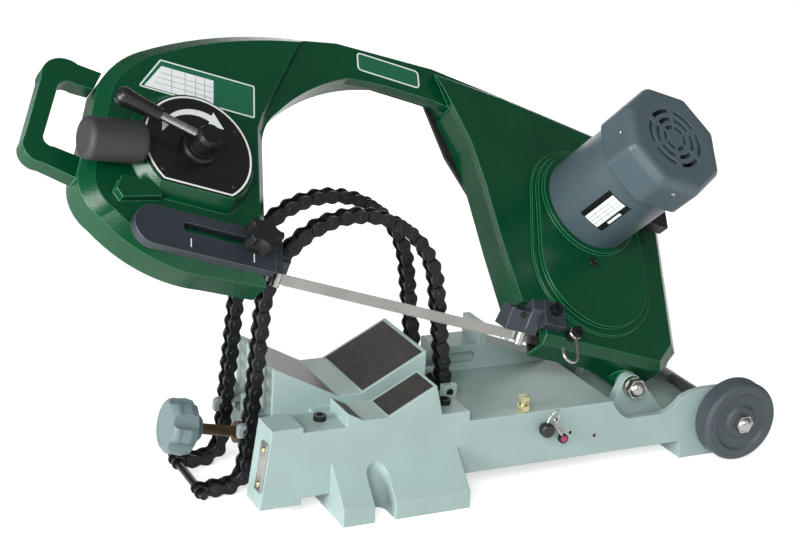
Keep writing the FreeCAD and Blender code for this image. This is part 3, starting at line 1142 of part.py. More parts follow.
def twist(flat_end, upright_end):
    """A stretch of blade that turns from the wheel's plane to the upright plane."""
    steps = 4
    half, width = size.blade_thick / 2, size.blade_width / 2
    sections = []
    for k in range(steps + 1):
        x = flat_end + (upright_end - flat_end) * k / steps
        angle = -math.radians(size.arm_lean) * k / steps
        c, s = math.cos(angle), math.sin(angle)
        corners = [(-half, -width), (half, -width), (half, width), (-half, width)]
        points = [V(x, y * c - z * s, y * s + z * c) for y, z in corners]
        sections.append(Part.makePolygon(points + points[:1]))
    return Part.makeLoft(sections, True, True)


# Blade guides and the hook on the arm's face
def make_guides():
    low = size.face_level + size.clearance
    side = (bar_high - bar_low) / 2
    middle = (bar_high + bar_low) / 2
    rows = [(bar_right, bar_low), (bar_left + side, bar_low), (bar_left, middle, bar_left + side, bar_high),
            (bar_right, bar_high)]
    half = size.bar_slot_width / 2
    v = stud_v
    slot = [(slot_right - half, v - half), (slot_right, v, slot_right - half, v + half),
            (slot_left + half, v + half), (slot_left, v, slot_left + half, v - half)]
    bar = extrude("guide_bar_body", rows, level(low), "bar_thick")
    opening = extrude("guide_bar_slot", slot, level(low - size.overrun), "bar_thick + 2 * overrun")
    keep("guide_bar", cut("guide_bar", bar, opening), arm_place)
    corners = [arm_to_blade(v, w) for v, w in ((bar_high, low), (bar_high, low + size.bar_thick),
                                               (bar_low, low + size.bar_thick), (bar_low, low))]
    side = size.block_side
    web = corners[:3] + [(-side, size.block_low), (side, size.block_low), (side, size.block_high)]
    start = bar_right
    plate = extrude("left_plate", web, end_view(start), "plate_thick")
    holder = box("left_holder", level_at(start, -side, size.block_low), "block_length", "2 * block_side",
                 "block_high - block_low")
    make_guide("left", start + size.block_length / 2, plate, holder)
    make_bracket()
    make_star_knob(low + size.bar_thick)
    make_hook()


def make_guide(side_name, middle, *parts):
    """A holder over the blade, with two rollers on pins that point down."""
    offset = size.guide_roller_radius + size.blade_thick / 2 + size.roller_gap
    pins = []
    for name, step, y in (("front", 1, -offset), ("back", -1, offset)):
        spot = level_at(middle + step * size.roller_step / 2, y, size.roller_low)
        pins.append(cylinder("%s_pin_%s" % (side_name, name), spot, "roller_pin_radius",
                             "block_low - roller_low + 2 * overrun"))
        label = "%s_roller_%s" % (side_name, name)
        ring = cylinder(label + "_body", spot, "guide_roller_radius",
                        "block_low - roller_low - 2 * clearance")
        hole = cylinder(label + "_hole", spot.multiply(level(-size.overrun)),
                        "roller_pin_radius + running_fit", "2 * block_high")
        keep(label, cut(label, ring, hole), blade_place)
    keep(side_name + "_block", fuse(side_name + "_block", *parts, *pins), blade_place)


def make_bracket():
    """The right guide: a plate on the arm's face, and a finned holder that a web hangs from it."""
    low, high, top = bracket_low, bracket_high, size.bracket_top
    rows = [(bracket_left, low), (bracket_right, low), (bracket_right, high), (bracket_left, high)]
    body = extrude("right_bracket", rows, level(size.face_level), "bracket_top - face_level")
    keep("right_bracket", body, arm_place)
    half = (bracket_right - bracket_left) / 2
    middle = V(bracket_left + half, high - 1.6 * size.bracket_screw_radius, top)
    head = cylinder("bracket_head", Placement(middle, Rotation()), "bracket_screw_radius",
                    "bracket_screw_height")
    socket = hexagon("bracket_socket", Placement(middle + V(0, 0, size.bracket_screw_height / 2), Rotation()),
                     "bracket_screw_radius / 2", "bracket_screw_height")
    keep("bracket_screw", cut("bracket_screw", head, socket), arm_place)
    front, back, under, above = size.holder_front, size.holder_back, size.block_low, size.holder_high
    rows = [arm_to_blade(high - 2 * size.root, top), arm_to_blade((low + high) / 2, top), (-front, under),
            (back, under), (back, above)]
    web = extrude("right_web", rows, end_view(bracket_left - size.holder_web), "holder_web")
    start = bracket_left - size.holder_length
    holder = box("right_holder", level_at(start, -front, under), "holder_length",
                 "holder_front + holder_back", "holder_high - block_low")
    fin = [(-front, under), (-front, above + size.root), (back, above + size.root), (2 * back, under)]
    fin = extrude("right_fin", fin, end_view(start - size.fin_thick), "fin_thick")
    make_guide("right", start + size.holder_length / 2, web, holder, fin)


def make_star_knob(bar_top):
    r = size.star_radius
    blank = cylinder("star_disc", level(size.star_low), "star_radius", "star_height")
    flutes = []
    for k in range(int(size.star_lobes)):
        angle = 2 * math.pi * (k + 0.5) / size.star_lobes
        flutes.append(cylinder("star_flute_%d" % k, level_at(1.15 * r * math.cos(angle),
                                                             1.15 * r * math.sin(angle),
                                                             size.star_low - size.overrun),
                               "star_radius / 2", "star_height + 2 * overrun"))
    head = cut("star_head", blank, *flutes)
    washer = cylinder("star_washer_disc", level(bar_top + size.clearance), "star_radius * 0.6",
                      "star_low - face_level - bar_thick - 2 * clearance + overrun")
    stud = cylinder("star_stud", level(size.face_level - size.stud_depth), "stud_radius",
                    "star_low - face_level + stud_depth + 2 * overrun")
    knob = fuse("star_knob", head, washer, stud)
    keep("star_knob", knob, arm_place.multiply(Placement(V(stud_u, stud_v, 0), Rotation())))


def make_hook():
    bolt_u, bolt_v = (share * unit for share in GUIDE_SHARES["hook_bolt"])
    spot = V(bolt_u + heel_shift, bolt_v, size.face_level)
    shank = cylinder("hook_bolt_shank", Placement(spot, Rotation()), "hook_bolt_radius / 2",
                     "hook_level - face_level + 2 * hook_wire")
    collar = cylinder("hook_bolt_collar", Placement(spot, Rotation()), "hook_bolt_radius",
                      "hook_level - face_level - hook_wire - 2 * clearance")
    top = size.hook_level + size.hook_wire + 2 * size.clearance
    head = hexagon("hook_bolt_head", level_at(spot.x, spot.y, top), "hook_bolt_radius", "hook_bolt_height")
    keep("hook_bolt", fuse("hook_bolt", shank, collar, head), arm_place)
    ring = doc.addObject("Part::Torus", "hook_ring")
    bind(ring, Radius1="hook_eye", Radius2="hook_wire")
    eye, bend, reach = size.hook_eye, size.hook_bend, size.hook_reach
    near, far = -eye * 0.2, -eye * 0.2 - 2 * bend
    path = [(0, -eye), (near, -reach + bend), (near - bend, -reach, far, -reach + bend),
            (far, -reach + 1.6 * bend)]
    edges = [edge.toShape() for edge in curves(path)[:-1]]
    pipe = doc.addObject("Part::Feature", "hook_stem")
    start = V(0, -eye, 0)
    section = Part.Wire(Part.makeCircle(size.hook_wire, start, edges[0].tangentAt(edges[0].FirstParameter)))
    pipe.Shape = Part.Wire(edges).makePipeShell([section], True, False, 2)
    hook = fuse("j_hook", ring, pipe)
    keep("j_hook", hook, arm_place.multiply(Placement(V(spot.x, spot.y, size.hook_level), Rotation())))


make_base()
make_vise()
make_base_fittings()
make_chains()
make_clamp()
make_arm()
make_arm_covers()
make_tension()
make_drive()
make_motor()
make_blade()
make_guides()
doc.recompute()

faults = [o.Name for o in doc.Objects if "Invalid" in o.State or "Error" in o.State]
faults += [n.Label for n in nodes if n.Shape.isNull() or not n.Shape.isValid()]
if faults:
    raise RuntimeError("not built: " + ", ".join(faults))
os.makedirs("parts", exist_ok=True)
for made in nodes:
    made.Shape.exportStep("parts/%s.step" % made.Label)
print(len(nodes), "parts written")
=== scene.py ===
"""Looks of the portable band saw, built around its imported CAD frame.

Lengths are in millimetres until a mesh is made.
"""

import json
import math

import bmesh
import bpy
from mathutils import Matrix, Vector


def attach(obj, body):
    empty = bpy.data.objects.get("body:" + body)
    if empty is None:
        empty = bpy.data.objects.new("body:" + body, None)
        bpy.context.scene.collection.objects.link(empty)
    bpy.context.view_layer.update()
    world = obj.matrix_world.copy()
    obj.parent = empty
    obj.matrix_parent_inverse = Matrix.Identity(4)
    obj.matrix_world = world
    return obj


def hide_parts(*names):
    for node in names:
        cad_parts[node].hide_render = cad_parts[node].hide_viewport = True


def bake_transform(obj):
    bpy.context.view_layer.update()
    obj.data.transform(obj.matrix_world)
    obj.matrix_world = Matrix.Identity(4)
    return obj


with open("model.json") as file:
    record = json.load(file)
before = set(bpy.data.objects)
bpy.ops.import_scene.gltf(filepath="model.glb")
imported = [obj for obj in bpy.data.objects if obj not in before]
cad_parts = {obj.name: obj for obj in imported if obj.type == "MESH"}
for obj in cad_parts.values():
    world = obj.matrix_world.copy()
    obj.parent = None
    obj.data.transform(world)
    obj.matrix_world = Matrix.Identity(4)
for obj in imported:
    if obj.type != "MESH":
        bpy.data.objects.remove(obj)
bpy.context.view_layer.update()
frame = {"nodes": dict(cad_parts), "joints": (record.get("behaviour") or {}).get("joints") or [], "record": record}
nodes = frame["nodes"]
joints = {joint["name"]: joint for joint in frame["joints"]}
MM = 0.001
QUARTER = math.radians(90)

# Sizes that the CAD has by the same names
REST_SWING = math.radians(18.06)
ARM_LEAN = math.radians(45)
PIVOT_REACH = 416.0
PIVOT_DROP = 23.2
PIPE_RADIUS = 108.15
PIPE_RISE = 133.5
DECK_HEIGHT = 96.5
DECK_THICK = 12.5
BASE_FRONT = 66.0
CLEARANCE = 0.3
PIPE_HEIGHT = DECK_HEIGHT + PIPE_RISE

# The blade's upright axes start where it meets the pipe, and the arm's axes lean from them
PIVOT = Vector(joints["arm_swing"]["pos_m"]) / MM
SWING_TURN = Matrix.Rotation(REST_SWING, 4, "Y")
BLADE = Matrix.Translation(PIVOT) @ SWING_TURN @ Matrix.Translation((-PIVOT_REACH, 0, PIVOT_DROP))
ARM = BLADE @ Matrix.Rotation(ARM_LEAN, 4, "X")
# Turns a flat outline upright, facing the front
ALONG_FRONT = Matrix.Rotation(QUARTER, 4, "X")

# Settings that all surfaces share
CLOUD_DETAIL = 5
SPECK_DETAIL = 2
TONE_LOW, TONE_HIGH = 0.32, 0.68
SPECK_LOW, SPECK_HIGH = 0.3, 0.7
GLOSS_SPREAD = 0.07
LEAST_ROUGH = 0.04
EDGE_SAMPLES = 6
# How far the softened normal agrees with the flat one where the lighter edge colour starts and where it is full;
# this edge colour is wear on some surfaces and a painted highlight on the green paint
WEAR_AND_HIGHLIGHT_START, WEAR_AND_HIGHLIGHT_FULL = 0.985, 0.80
GRAIN_DEPTH = 0.6
# Sockets of a colour Mix node
MIX_FACTOR, MIX_FIRST, MIX_SECOND, MIX_RESULT = 0, 6, 7, 2


# Materials
def srgb(red, green, blue):
    """A colour as it is seen on screen, in linear values."""
    found = []
    for part in (red, green, blue):
        share = part / 255
        found.append(share / 12.92 if share <= 0.04045 else ((share + 0.055) / 1.055) ** 2.4)
    return tuple(found) + (1.0,)


def shade(colour, factor):
    """A lighter or darker colour."""
    return tuple(min(1.0, c * factor) for c in colour[:3]) + (1.0,)


def material(name, colour, rough, metal=0.0, mottle=0.12, broad=16.0, grain=900.0, bump=0.12,
             edge=1.0, worn=None, wear_and_highlight_share=0.6, shine=0.5, scratch=0.0):
    """A surface with mottled colour, fine grain, uneven gloss, softened edges and a lighter colour along them,
    which is wear on some surfaces and a painted highlight on the green paint.
    """
    made = bpy.data.materials.new(name)
    made.use_nodes = True
    tree = made.node_tree
    new, join = tree.nodes.new, tree.links.new
    shader = tree.nodes["Principled BSDF"]
    shader.inputs["Metallic"].default_value = metal
    shader.inputs["Specular IOR Level"].default_value = shine
    place = new("ShaderNodeTexCoord").outputs["Object"]
    clouds = new("ShaderNodeTexNoise")
    clouds.inputs["Scale"].default_value = broad
    clouds.inputs["Detail"].default_value = CLOUD_DETAIL
    specks = new("ShaderNodeTexNoise")
    specks.inputs["Scale"].default_value = grain
    specks.inputs["Detail"].default_value = SPECK_DETAIL
    join(place, clouds.inputs["Vector"])
    if scratch:
        stretch = new("ShaderNodeMapping")
        stretch.inputs["Scale"].default_value = (1, 1, scratch)
        join(place, stretch.inputs["Vector"])
        place = stretch.outputs["Vector"]
    join(place, specks.inputs["Vector"])
    tone = new("ShaderNodeValToRGB")
    tone.color_ramp.elements[0].position = TONE_LOW
    tone.color_ramp.elements[0].color = shade(colour, 1 - mottle)
    tone.color_ramp.elements[1].position = TONE_HIGH
    tone.color_ramp.elements[1].color = shade(colour, 1 + mottle)
    join(clouds.outputs[0], tone.inputs[0])
    gloss = new("ShaderNodeMapRange")
    gloss.inputs["From Min"].default_value = SPECK_LOW
    gloss.inputs["From Max"].default_value = SPECK_HIGH
    gloss.inputs["To Min"].default_value = max(LEAST_ROUGH, rough - GLOSS_SPREAD)
    gloss.inputs["To Max"].default_value = min(1.0, rough + GLOSS_SPREAD)
    join(specks.outputs[0], gloss.inputs["Value"])
    join(gloss.outputs[0], shader.inputs["Roughness"])
    soft = new("ShaderNodeBevel")
    soft.samples = EDGE_SAMPLES
    soft.inputs["Radius"].default_value = edge * MM
    colour_out = tone.outputs[0]
    # Lighter colour along the edges: wear on some surfaces, a painted highlight on the green paint
    if worn is not None:
        agree = new("ShaderNodeVectorMath")
        agree.operation = "DOT_PRODUCT"
        join(new("ShaderNodeNewGeometry").outputs["Normal"], agree.inputs[0])
        join(soft.outputs[0], agree.inputs[1])
        edges = new("ShaderNodeMapRange")
        edges.inputs["From Min"].default_value = WEAR_AND_HIGHLIGHT_START
        edges.inputs["From Max"].default_value = WEAR_AND_HIGHLIGHT_FULL
        edges.inputs["To Max"].default_value = wear_and_highlight_share
        join(agree.outputs["Value"], edges.inputs["Value"])
        blend = new("ShaderNodeMix")
        blend.data_type = "RGBA"
        blend.inputs[MIX_SECOND].default_value = worn
        join(edges.outputs[0], blend.inputs[MIX_FACTOR])
        join(colour_out, blend.inputs[MIX_FIRST])
        colour_out = blend.outputs[MIX_RESULT]
    join(colour_out, shader.inputs["Base Color"])
    relief = new("ShaderNodeBump")
    relief.inputs["Strength"].default_value = bump
    relief.inputs["Distance"].default_value = GRAIN_DEPTH * MM
    join(specks.outputs[0], relief.inputs["Height"])
    join(soft.outputs[0], relief.inputs["Normal"])
    join(relief.outputs[0], shader.inputs["Normal"])
    return made


# The green paint's light green edges are a painted highlight on its bevels, not wear
GREEN = material("green_paint", srgb(0, 64, 36), 0.24, mottle=0.10, grain=520, bump=0.20, edge=1.8,
                 worn=srgb(92, 176, 130), wear_and_highlight_share=0.6, shine=0.3)
GREY = material("base_paint", srgb(146, 167, 164), 0.42, mottle=0.05, grain=800, bump=0.14, edge=1.6,
                worn=srgb(200, 214, 212), wear_and_highlight_share=0.5)
COVER = material("cover_black", srgb(24, 25, 26), 0.5, edge=1.0)
MOTOR = material("motor_paint", srgb(70, 86, 92), 0.40, mottle=0.06, grain=1200, bump=0.10, edge=2.0,
                 worn=srgb(128, 142, 148), wear_and_highlight_share=0.4)
STEEL = material("steel", srgb(172, 172, 168), 0.30, metal=1.0, mottle=0.10, grain=400, bump=0.01, edge=0.5)
CAST = material("cast_steel", srgb(150, 158, 160), 0.5, metal=0.4, grain=700, bump=0.2, edge=1.0)
BLACK = material("black_plastic", srgb(22, 22, 23), 0.36, mottle=0.2, grain=1600, bump=0.06, edge=1.2,
                 worn=srgb(52, 52, 52), wear_and_highlight_share=0.5)
GREY_PLASTIC = material("grey_plastic", srgb(98, 116, 118), 0.45, mottle=0.06, grain=1500, bump=0.08,
                        edge=1.5, worn=srgb(138, 152, 152), wear_and_highlight_share=0.4)
TYRE = material("wheel_rubber", srgb(60, 69, 74), 0.6, mottle=0.10, grain=1300, bump=0.16, edge=1.2)
RUBBER = material("rubber", srgb(42, 43, 45), 0.62, mottle=0.14, grain=1100, bump=0.2, edge=1.2)
CHAIN = material("chain_steel", srgb(34, 35, 37), 0.34, metal=0.75, mottle=0.3, broad=60, grain=900,
                 bump=0.08, edge=0.4, worn=srgb(120, 120, 118), wear_and_highlight_share=0.5)
ZINC = material("yellow_zinc", srgb(186, 178, 140), 0.32, metal=0.9, mottle=0.12, broad=90, grain=400,
                bump=0.01, edge=0.5)
OXIDE = material("black_oxide", srgb(36, 36, 34), 0.38, metal=0.6, mottle=0.2, broad=60, grain=900,
                 bump=0.08, edge=0.8, worn=srgb(96, 96, 88), wear_and_highlight_share=0.6)
JAW = material("jaw_steel", srgb(74, 72, 68), 0.44, metal=0.7, mottle=0.18, broad=90, grain=500,
               bump=0.2, edge=0.3)
GUNMETAL = material("gunmetal", srgb(50, 58, 66), 0.42, metal=0.35, mottle=0.10, grain=900, bump=0.10,
                    edge=0.9, worn=srgb(150, 150, 142), wear_and_highlight_share=0.8)
BRONZE = material("bronze", srgb(88, 68, 48), 0.45, metal=0.8, mottle=0.25, broad=60, grain=900,
                  bump=0.2, edge=0.6)
BAND = material("blade_steel", srgb(150, 150, 146), 0.32, metal=0.9, mottle=0.12, grain=260, bump=0.05,
                edge=0.2, scratch=8)
DISC = material("disc_black", srgb(14, 14, 16), 0.30, mottle=0.1, edge=0.4)
WHITE = material("white_print", srgb(226, 230, 230), 0.45, mottle=0.03, grain=1200, bump=0.03, edge=0.2)
PANEL = material("green_print", srgb(18, 96, 66), 0.35, mottle=0.04, grain=1200, bump=0.03, edge=0.2)
LINES = material("grey_print", srgb(120, 130, 130), 0.5, mottle=0.03, grain=1200, bump=0.02, edge=0.1)
RED = material("red_enamel", srgb(168, 44, 92), 0.3, mottle=0.2, broad=200, grain=1200, bump=0.05, edge=0.3)
# Painted shade: near black for discs that stand in for the insides of small holes
HOLE_SHADE = material("painted_hole_shade", srgb(16, 17, 18), 0.7, mottle=0.1, edge=0.2)

SLOTS = {"green_paint": GREEN, "base_paint": GREY, "cover_black": COVER, "motor_paint": MOTOR,
         "steel": STEEL, "cast_steel": CAST, "black_plastic": BLACK, "grey_plastic": GREY_PLASTIC,
         "wheel_rubber": TYRE, "rubber": RUBBER, "chain_steel": CHAIN, "yellow_zinc": ZINC,
         "gunmetal": GUNMETAL, "bronze": BRONZE, "blade_steel": BAND, "disc_black": DISC}
# Nodes that look darker than their slot
BLACKENED = {"lever_hub": OXIDE, "vise_bolts": OXIDE}
for entry in frame["record"]["subparts"]:
    carried = nodes[entry["node"]].data
    carried.materials.clear()
    carried.materials.append(BLACKENED.get(entry["node"]) or SLOTS[entry["material_slot"]])

# Edges sharper than these angles stay sharp
SMOOTH_ANGLE = 40
CHAIN_ANGLE = 35
TOOTH_ANGLE = 20
# Keeps an inset corner from running far out
LEAST_SPREAD = 0.4


# Mesh building
def place_in_scene(name, data):
    """A new object in the scene."""
    made = bpy.data.objects.new(name, data)
    bpy.context.scene.collection.objects.link(made)
    return made


class Shape:
    """Collects simple forms into one mesh."""

    def __init__(self):
        self.points = []
        self.faces = []

    def add(self, points, faces, place=None):
        """Points and faces as they are, or moved to a place."""
        start = len(self.points)
        self.points += [place @ Vector(p) if place is not None else Vector(p) for p in points]
        self.faces += [[start + i for i in face] for face in faces]

    def stack(self, outlines, place=None, closed=False):
        """A form through outlines of (x, y, z) points with the same count, capped unless it closes."""
        count, loops = len(outlines[0]), len(outlines)
        faces = []
        for row in range(loops if closed else loops - 1):
            after = (row + 1) % loops
            for k in range(count):
                n = (k + 1) % count
                faces.append([row * count + k, row * count + n, after * count + n, after * count + k])
        if not closed:
            faces.append(list(range(count))[::-1])
            faces.append(list(range((loops - 1) * count, loops * count)))
        self.add([p for outline in outlines for p in outline], faces, place)

    def lathe(self, rows, place=None, steps=32):
        """A turned form about Z, from radius and height pairs."""
        turns = [2 * math.pi * k / steps for k in range(steps)]
        self.stack([[(r * math.cos(a), r * math.sin(a), z) for a in turns] for r, z in rows], place)

    def plate(self, outline, low, high, chamfer=0.0, place=None):
        """A flat plate with chamfered rims."""
        levels = [(outline, low), (outline, high)]
        if chamfer:
            inner = inset(outline, chamfer)
            levels = [(inner, low), (outline, low + chamfer), (outline, high - chamfer), (inner, high)]
        self.stack([[(x, y, z) for x, y in line] for line, z in levels], place)

    def ring(self, outer, inner, low, high, place=None):
        """A flat frame between two outlines with the same count of points."""
        count = len(outer)
        points = [(x, y, z) for z in (low, high) for line in (outer, inner) for x, y in line]
        faces = []
        for k in range(count):
            n = (k + 1) % count
            faces.append([k, count + k, count + n, n])
            faces.append([2 * count + k, 2 * count + n, 3 * count + n, 3 * count + k])
            faces.append([k, n, 2 * count + n, 2 * count + k])
            faces.append([count + k, 3 * count + k, 3 * count + n, count + n])
        self.add(points, faces, place)

    def tube(self, path, radius, place=None, steps=12, closed=False):
        """A round wire along points."""
        path = [Vector(p) for p in path]
        count = len(path)
        turns = [2 * math.pi * k / steps for k in range(steps)]
        normal = None
        loops = []
        for i, spot in enumerate(path):
            before = path[i - 1] if i or closed else path[i]
            after = path[(i + 1) % count] if i < count - 1 or closed else path[i]
            ahead = (after - before).normalized()
            if normal is None:
                normal = ahead.orthogonal().normalized()
            normal = (normal - ahead * normal.dot(ahead)).normalized()
            side = ahead.cross(normal)
            loops.append([spot + (normal * math.cos(a) + side * math.sin(a)) * radius for a in turns])
        self.stack(loops, place, closed)

    def done(self, name, look, body=None, slot=None, angle=SMOOTH_ANGLE):
        """Makes the mesh, with its faces turned outward, and lets it ride on a body."""
        mesh = bpy.data.meshes.new(name)
        mesh.from_pydata([tuple(p * MM) for p in self.points], [], self.faces)
        mesh.validate()
        outward = bmesh.new()
        outward.from_mesh(mesh)
        bmesh.ops.recalc_face_normals(outward, faces=outward.faces)
        outward.to_mesh(mesh)
        outward.free()
        mesh.shade_smooth()
        mesh.set_sharp_from_angle(angle=math.radians(angle))
        mesh.materials.append(look)
        made = place_in_scene(name, mesh)
        if body:
            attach(made, body)
        return made


def arc(radius, start, sweep, steps, middle=0.0):
    """Points of a round stretch about a place on the X axis, with angles in degrees."""
    angles = [math.radians(start + sweep * k / steps) for k in range(steps + 1)]
    return [(middle + radius * math.cos(a), radius * math.sin(a)) for a in angles]


def inset(outline, depth):
    """The same outline moved inwards; its points run counter-clockwise."""
    count = len(outline)
    found = []
    for i in range(count):
        a, b, c = (Vector(outline[(i + k) % count]) for k in (-1, 0, 1))
        first = (b - a).normalized()
        second = (c - b).normalized()
        one, two = Vector((-first.y, first.x)), Vector((-second.y, second.x))
        middle = (one + two).normalized()
        spread = max(LEAST_SPREAD, middle.dot(one))
        found.append(tuple(b + middle * depth / spread))
    return found


def rounded(points, radius, steps=5):
    """An outline whose corners are rounded; its points run counter-clockwise."""
    count = len(points)
    found = []
    for i in range(count):
        a, b, c = (Vector(points[(i + k) % count]) for k in (-1, 0, 1))
        back, on = (a - b).normalized(), (c - b).normalized()
        half = back.angle(on) / 2
        reach = radius / math.tan(half)
        start, end = b + back * reach, b + on * reach
        for k in range(steps + 1):
            t = k / steps
            found.append(tuple((1 - t) ** 2 * start + 2 * t * (1 - t) * b + t ** 2 * end))
    return found


def at(u, v, w):
    """A place on the arm, with Z out of its face."""
    return ARM @ Matrix.Translation((u, v, w))


def on_arm(joint):
    """Where a joint's axis stands on the arm's face."""
    spot = ARM.inverted() @ (Vector(joints[joint]["pos_m"]) / MM)
    return spot.x, spot.y


# Chains: figure-eight plates, rollers and riveted pins
CHAIN_PLACES = {"front": 25.0, "rear": 115.0}
PITCH = 19.05
CHAIN_HEIGHT = 18.0
INNER_WIDTH = 12.7
PLATE_THICK = 2.0
PLATE_GAP = 0.2
PLATE_CHAMFER = 0.4
PLATE_MARGIN = 0.3
WAIST_CUT = 3.2
# Half the angle of a plate's round end, in degrees
PLATE_END = 110
PLATE_STEPS = 10
ROLLER = 5.95
ROLLER_BEVEL = 0.4
ROLLER_RIM = 0.5
ROLLER_STEPS = 16
PIN = 2.9
PIN_TIP = 1.6
PIN_RIM = 0.4
PIN_RISE = 0.9
PIN_STEPS = 12

# The chains' path from the anchor over the pipe's place, past the hang point, to the floor
CHAIN_RADIUS = PIPE_RADIUS + CHAIN_HEIGHT / 2 + CLEARANCE
ANCHOR_PLACE, ANCHOR_RISE = 136.0, 9.5
ANCHOR = (ANCHOR_PLACE, DECK_HEIGHT + ANCHOR_RISE)
HANG_PLACE, HANG_DROP = 132.0, 40.5
HANG = (-HANG_PLACE, DECK_HEIGHT - HANG_DROP)
HOOK_HEIGHT = DECK_HEIGHT - DECK_THICK
CHAIN_TAIL = 205.0
ARCH_STEPS = 120
HALVINGS = 40
# Left and up from the hang point's foot, in shares of half the chain's height, and where it lies flat
TAIL_CURVE = [(0.5, 2.6), (1.6, 1.3)]
TAIL_FLAT = 3.2


def tangent_angle(x, z, sign):
    """Where a straight run from a point touches the chain's arch."""
    return math.atan2(z, x) + sign * math.acos(CHAIN_RADIUS / math.hypot(x, z))


def chain_path():
    """Points from the anchor over the pipe's place, down to the floor and past the tail's end."""
    start = tangent_angle(ANCHOR[0], ANCHOR[1] - PIPE_HEIGHT, 1)
    end = tangent_angle(HANG[0], HANG[1] - PIPE_HEIGHT, -1) + 2 * math.pi
    arch = [start + (end - start) * i / ARCH_STEPS for i in range(ARCH_STEPS + 1)]
    over = [(CHAIN_RADIUS * math.cos(a), PIPE_HEIGHT + CHAIN_RADIUS * math.sin(a)) for a in arch]
    half = CHAIN_HEIGHT / 2
    bend = [(HANG[0] - half * x, half * z) for x, z in TAIL_CURVE]
    rest = half + CLEARANCE
    return [ANCHOR] + over + [HANG] + bend + [(HANG[0] - half * TAIL_FLAT, rest), (-CHAIN_TAIL - PITCH, rest)]


def chain_pins():
    """Pins one pitch apart along the path."""
    path = chain_path()
    pins = [path[0]]
    for a, b in zip(path, path[1:]):
        passed = 0.0
        while math.dist(pins[-1], b) >= PITCH:
            low, high = passed, 1.0
            for _ in range(HALVINGS):
                middle = (low + high) / 2
                spot = (a[0] + (b[0] - a[0]) * middle, a[1] + (b[1] - a[1]) * middle)
                if math.dist(pins[-1], spot) < PITCH:
                    low = middle
                else:
                    high = middle
            pins.append(spot)
            passed = high
    return [p for p in pins if p[0] > -CHAIN_TAIL - ROLLER]


def link_outline():
    """A figure-eight plate: two round ends and a waist."""
    waist = CHAIN_HEIGHT / 2 - WAIST_CUT
    right = arc(CHAIN_HEIGHT / 2 - PLATE_MARGIN, -PLATE_END, 2 * PLATE_END, PLATE_STEPS, PITCH / 2)
    return right + [(0, waist)] + [(-x, -y) for x, y in right] + [(0, -waist)]


OUTLINE = link_outline()


def add_link(shape, a, b, inner):
    """One link between two pins: plates with rollers inside, or plates with pins outside."""
    turn = -math.atan2(b[1] - a[1], b[0] - a[0])
    middle = ((a[0] + b[0]) / 2, 0, (a[1] + b[1]) / 2)
    place = Matrix.Translation(middle) @ Matrix.Rotation(turn, 4, "Y") @ ALONG_FRONT
    first = INNER_WIDTH / 2 + (0 if inner else PLATE_THICK + PLATE_GAP)
    for low in (first, -first - PLATE_THICK):
        shape.plate(OUTLINE, low, low + PLATE_THICK, PLATE_CHAMFER, place)
    for x in (-PITCH / 2, PITCH / 2):
        spot = place @ Matrix.Translation((x, 0, 0))
        if inner:
            rim, face = first - ROLLER_RIM, ROLLER - ROLLER_BEVEL
            shape.lathe([(face, -first), (ROLLER, -rim), (ROLLER, rim), (face, first)], spot, ROLLER_STEPS)
        else:
            tip = first + PLATE_THICK + PIN_RISE
            rim = first + PLATE_THICK + PIN_RIM
            shape.lathe([(PIN_TIP, -tip), (PIN, -rim), (PIN, rim), (PIN_TIP, tip)], spot, PIN_STEPS)


def make_chain(name, node, y):
    """A chain in three runs: still over the pipe, down to the yoke's hook, and on to the floor."""
    pins = chain_pins()
    links = list(zip(pins, pins[1:]))
    middles = [((a[0] + b[0]) / 2, (a[1] + b[1]) / 2) for a, b in links]
    left = [i for i, (x, z) in enumerate(middles) if x < 0 and z < PIPE_HEIGHT]
    start = left[0]
    hooked = min((i for i in left if i % 2 == 1), key=lambda i: abs(middles[i][1] - HOOK_HEIGHT))
    for part, rows in (("over", range(0, start)), ("run", range(start, hooked + 1)),
                       ("tail", range(hooked + 1, len(links)))):
        shape = Shape()
        for i in rows:
            add_link(shape, *links[i], i % 2 == 1)
        shape.points = [p + Vector((0, y, 0)) for p in shape.points]
        made = shape.done("%s_%s" % (name, part), CHAIN, slot="chain_steel", angle=CHAIN_ANGLE)
        if part == "over":
            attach(made, "base")
        elif part == "run":
            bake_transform(made)
        else:
            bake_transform(made)
        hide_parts(node)


for side, place_y in CHAIN_PLACES.items():
    make_chain("links_" + side, "chain_" + side, place_y)

# Disc plate: border, curved arrow and rivets
DISC_CENTRE = (-242.0, 118.0)
DISC_TOP = 50.0
DISC_PRINT = 0.25
# Radius, and distance of the flat below the middle
BORDER_OUTER = (69.6, 54.2)
BORDER_INNER = (67.2, 52.0)
ARROW_RADIUS = 48.5
# Angles in degrees
ARROW_START, ARROW_SWEEP = 152, 81
ARROW_HALF, ARROW_GROWTH = 2.4, 2.2
# Angle, half width, length and direction of the arrow's two heads
ARROW_HEADS = ((ARROW_START - ARROW_SWEEP, 10.5, 20.0, -1), (ARROW_START, 5.0, 13.0, 1))
HEAD_CURL = 0.2
RIVET_CIRCLE = 61.0
RIVET_ANGLES = (38, 140, 222, 318)
RIVET_ROWS = [(3.0, 0), (3.0, 0.5), (2.2, 1.2), (1.0, 1.5)]
RIVET_STEPS = 16


def disc_outline(radius, flat, steps=64):
    """A round outline with a flat below."""
    half = math.degrees(math.acos(flat / radius))
    return arc(radius, half - 90, 360 - 2 * half, steps)


def arrow_band(steps=24):
    """The arrow's widening curved stroke."""
    outer, inner = [], []
    for k in range(steps + 1):
        angle = math.radians(ARROW_START - ARROW_SWEEP * k / steps)
        half = ARROW_HALF + ARROW_GROWTH * k / steps
        for line, radius in ((outer, ARROW_RADIUS + half), (inner, ARROW_RADIUS - half)):
            line.append((radius * math.cos(angle), radius * math.sin(angle)))
    return inner + outer[::-1]


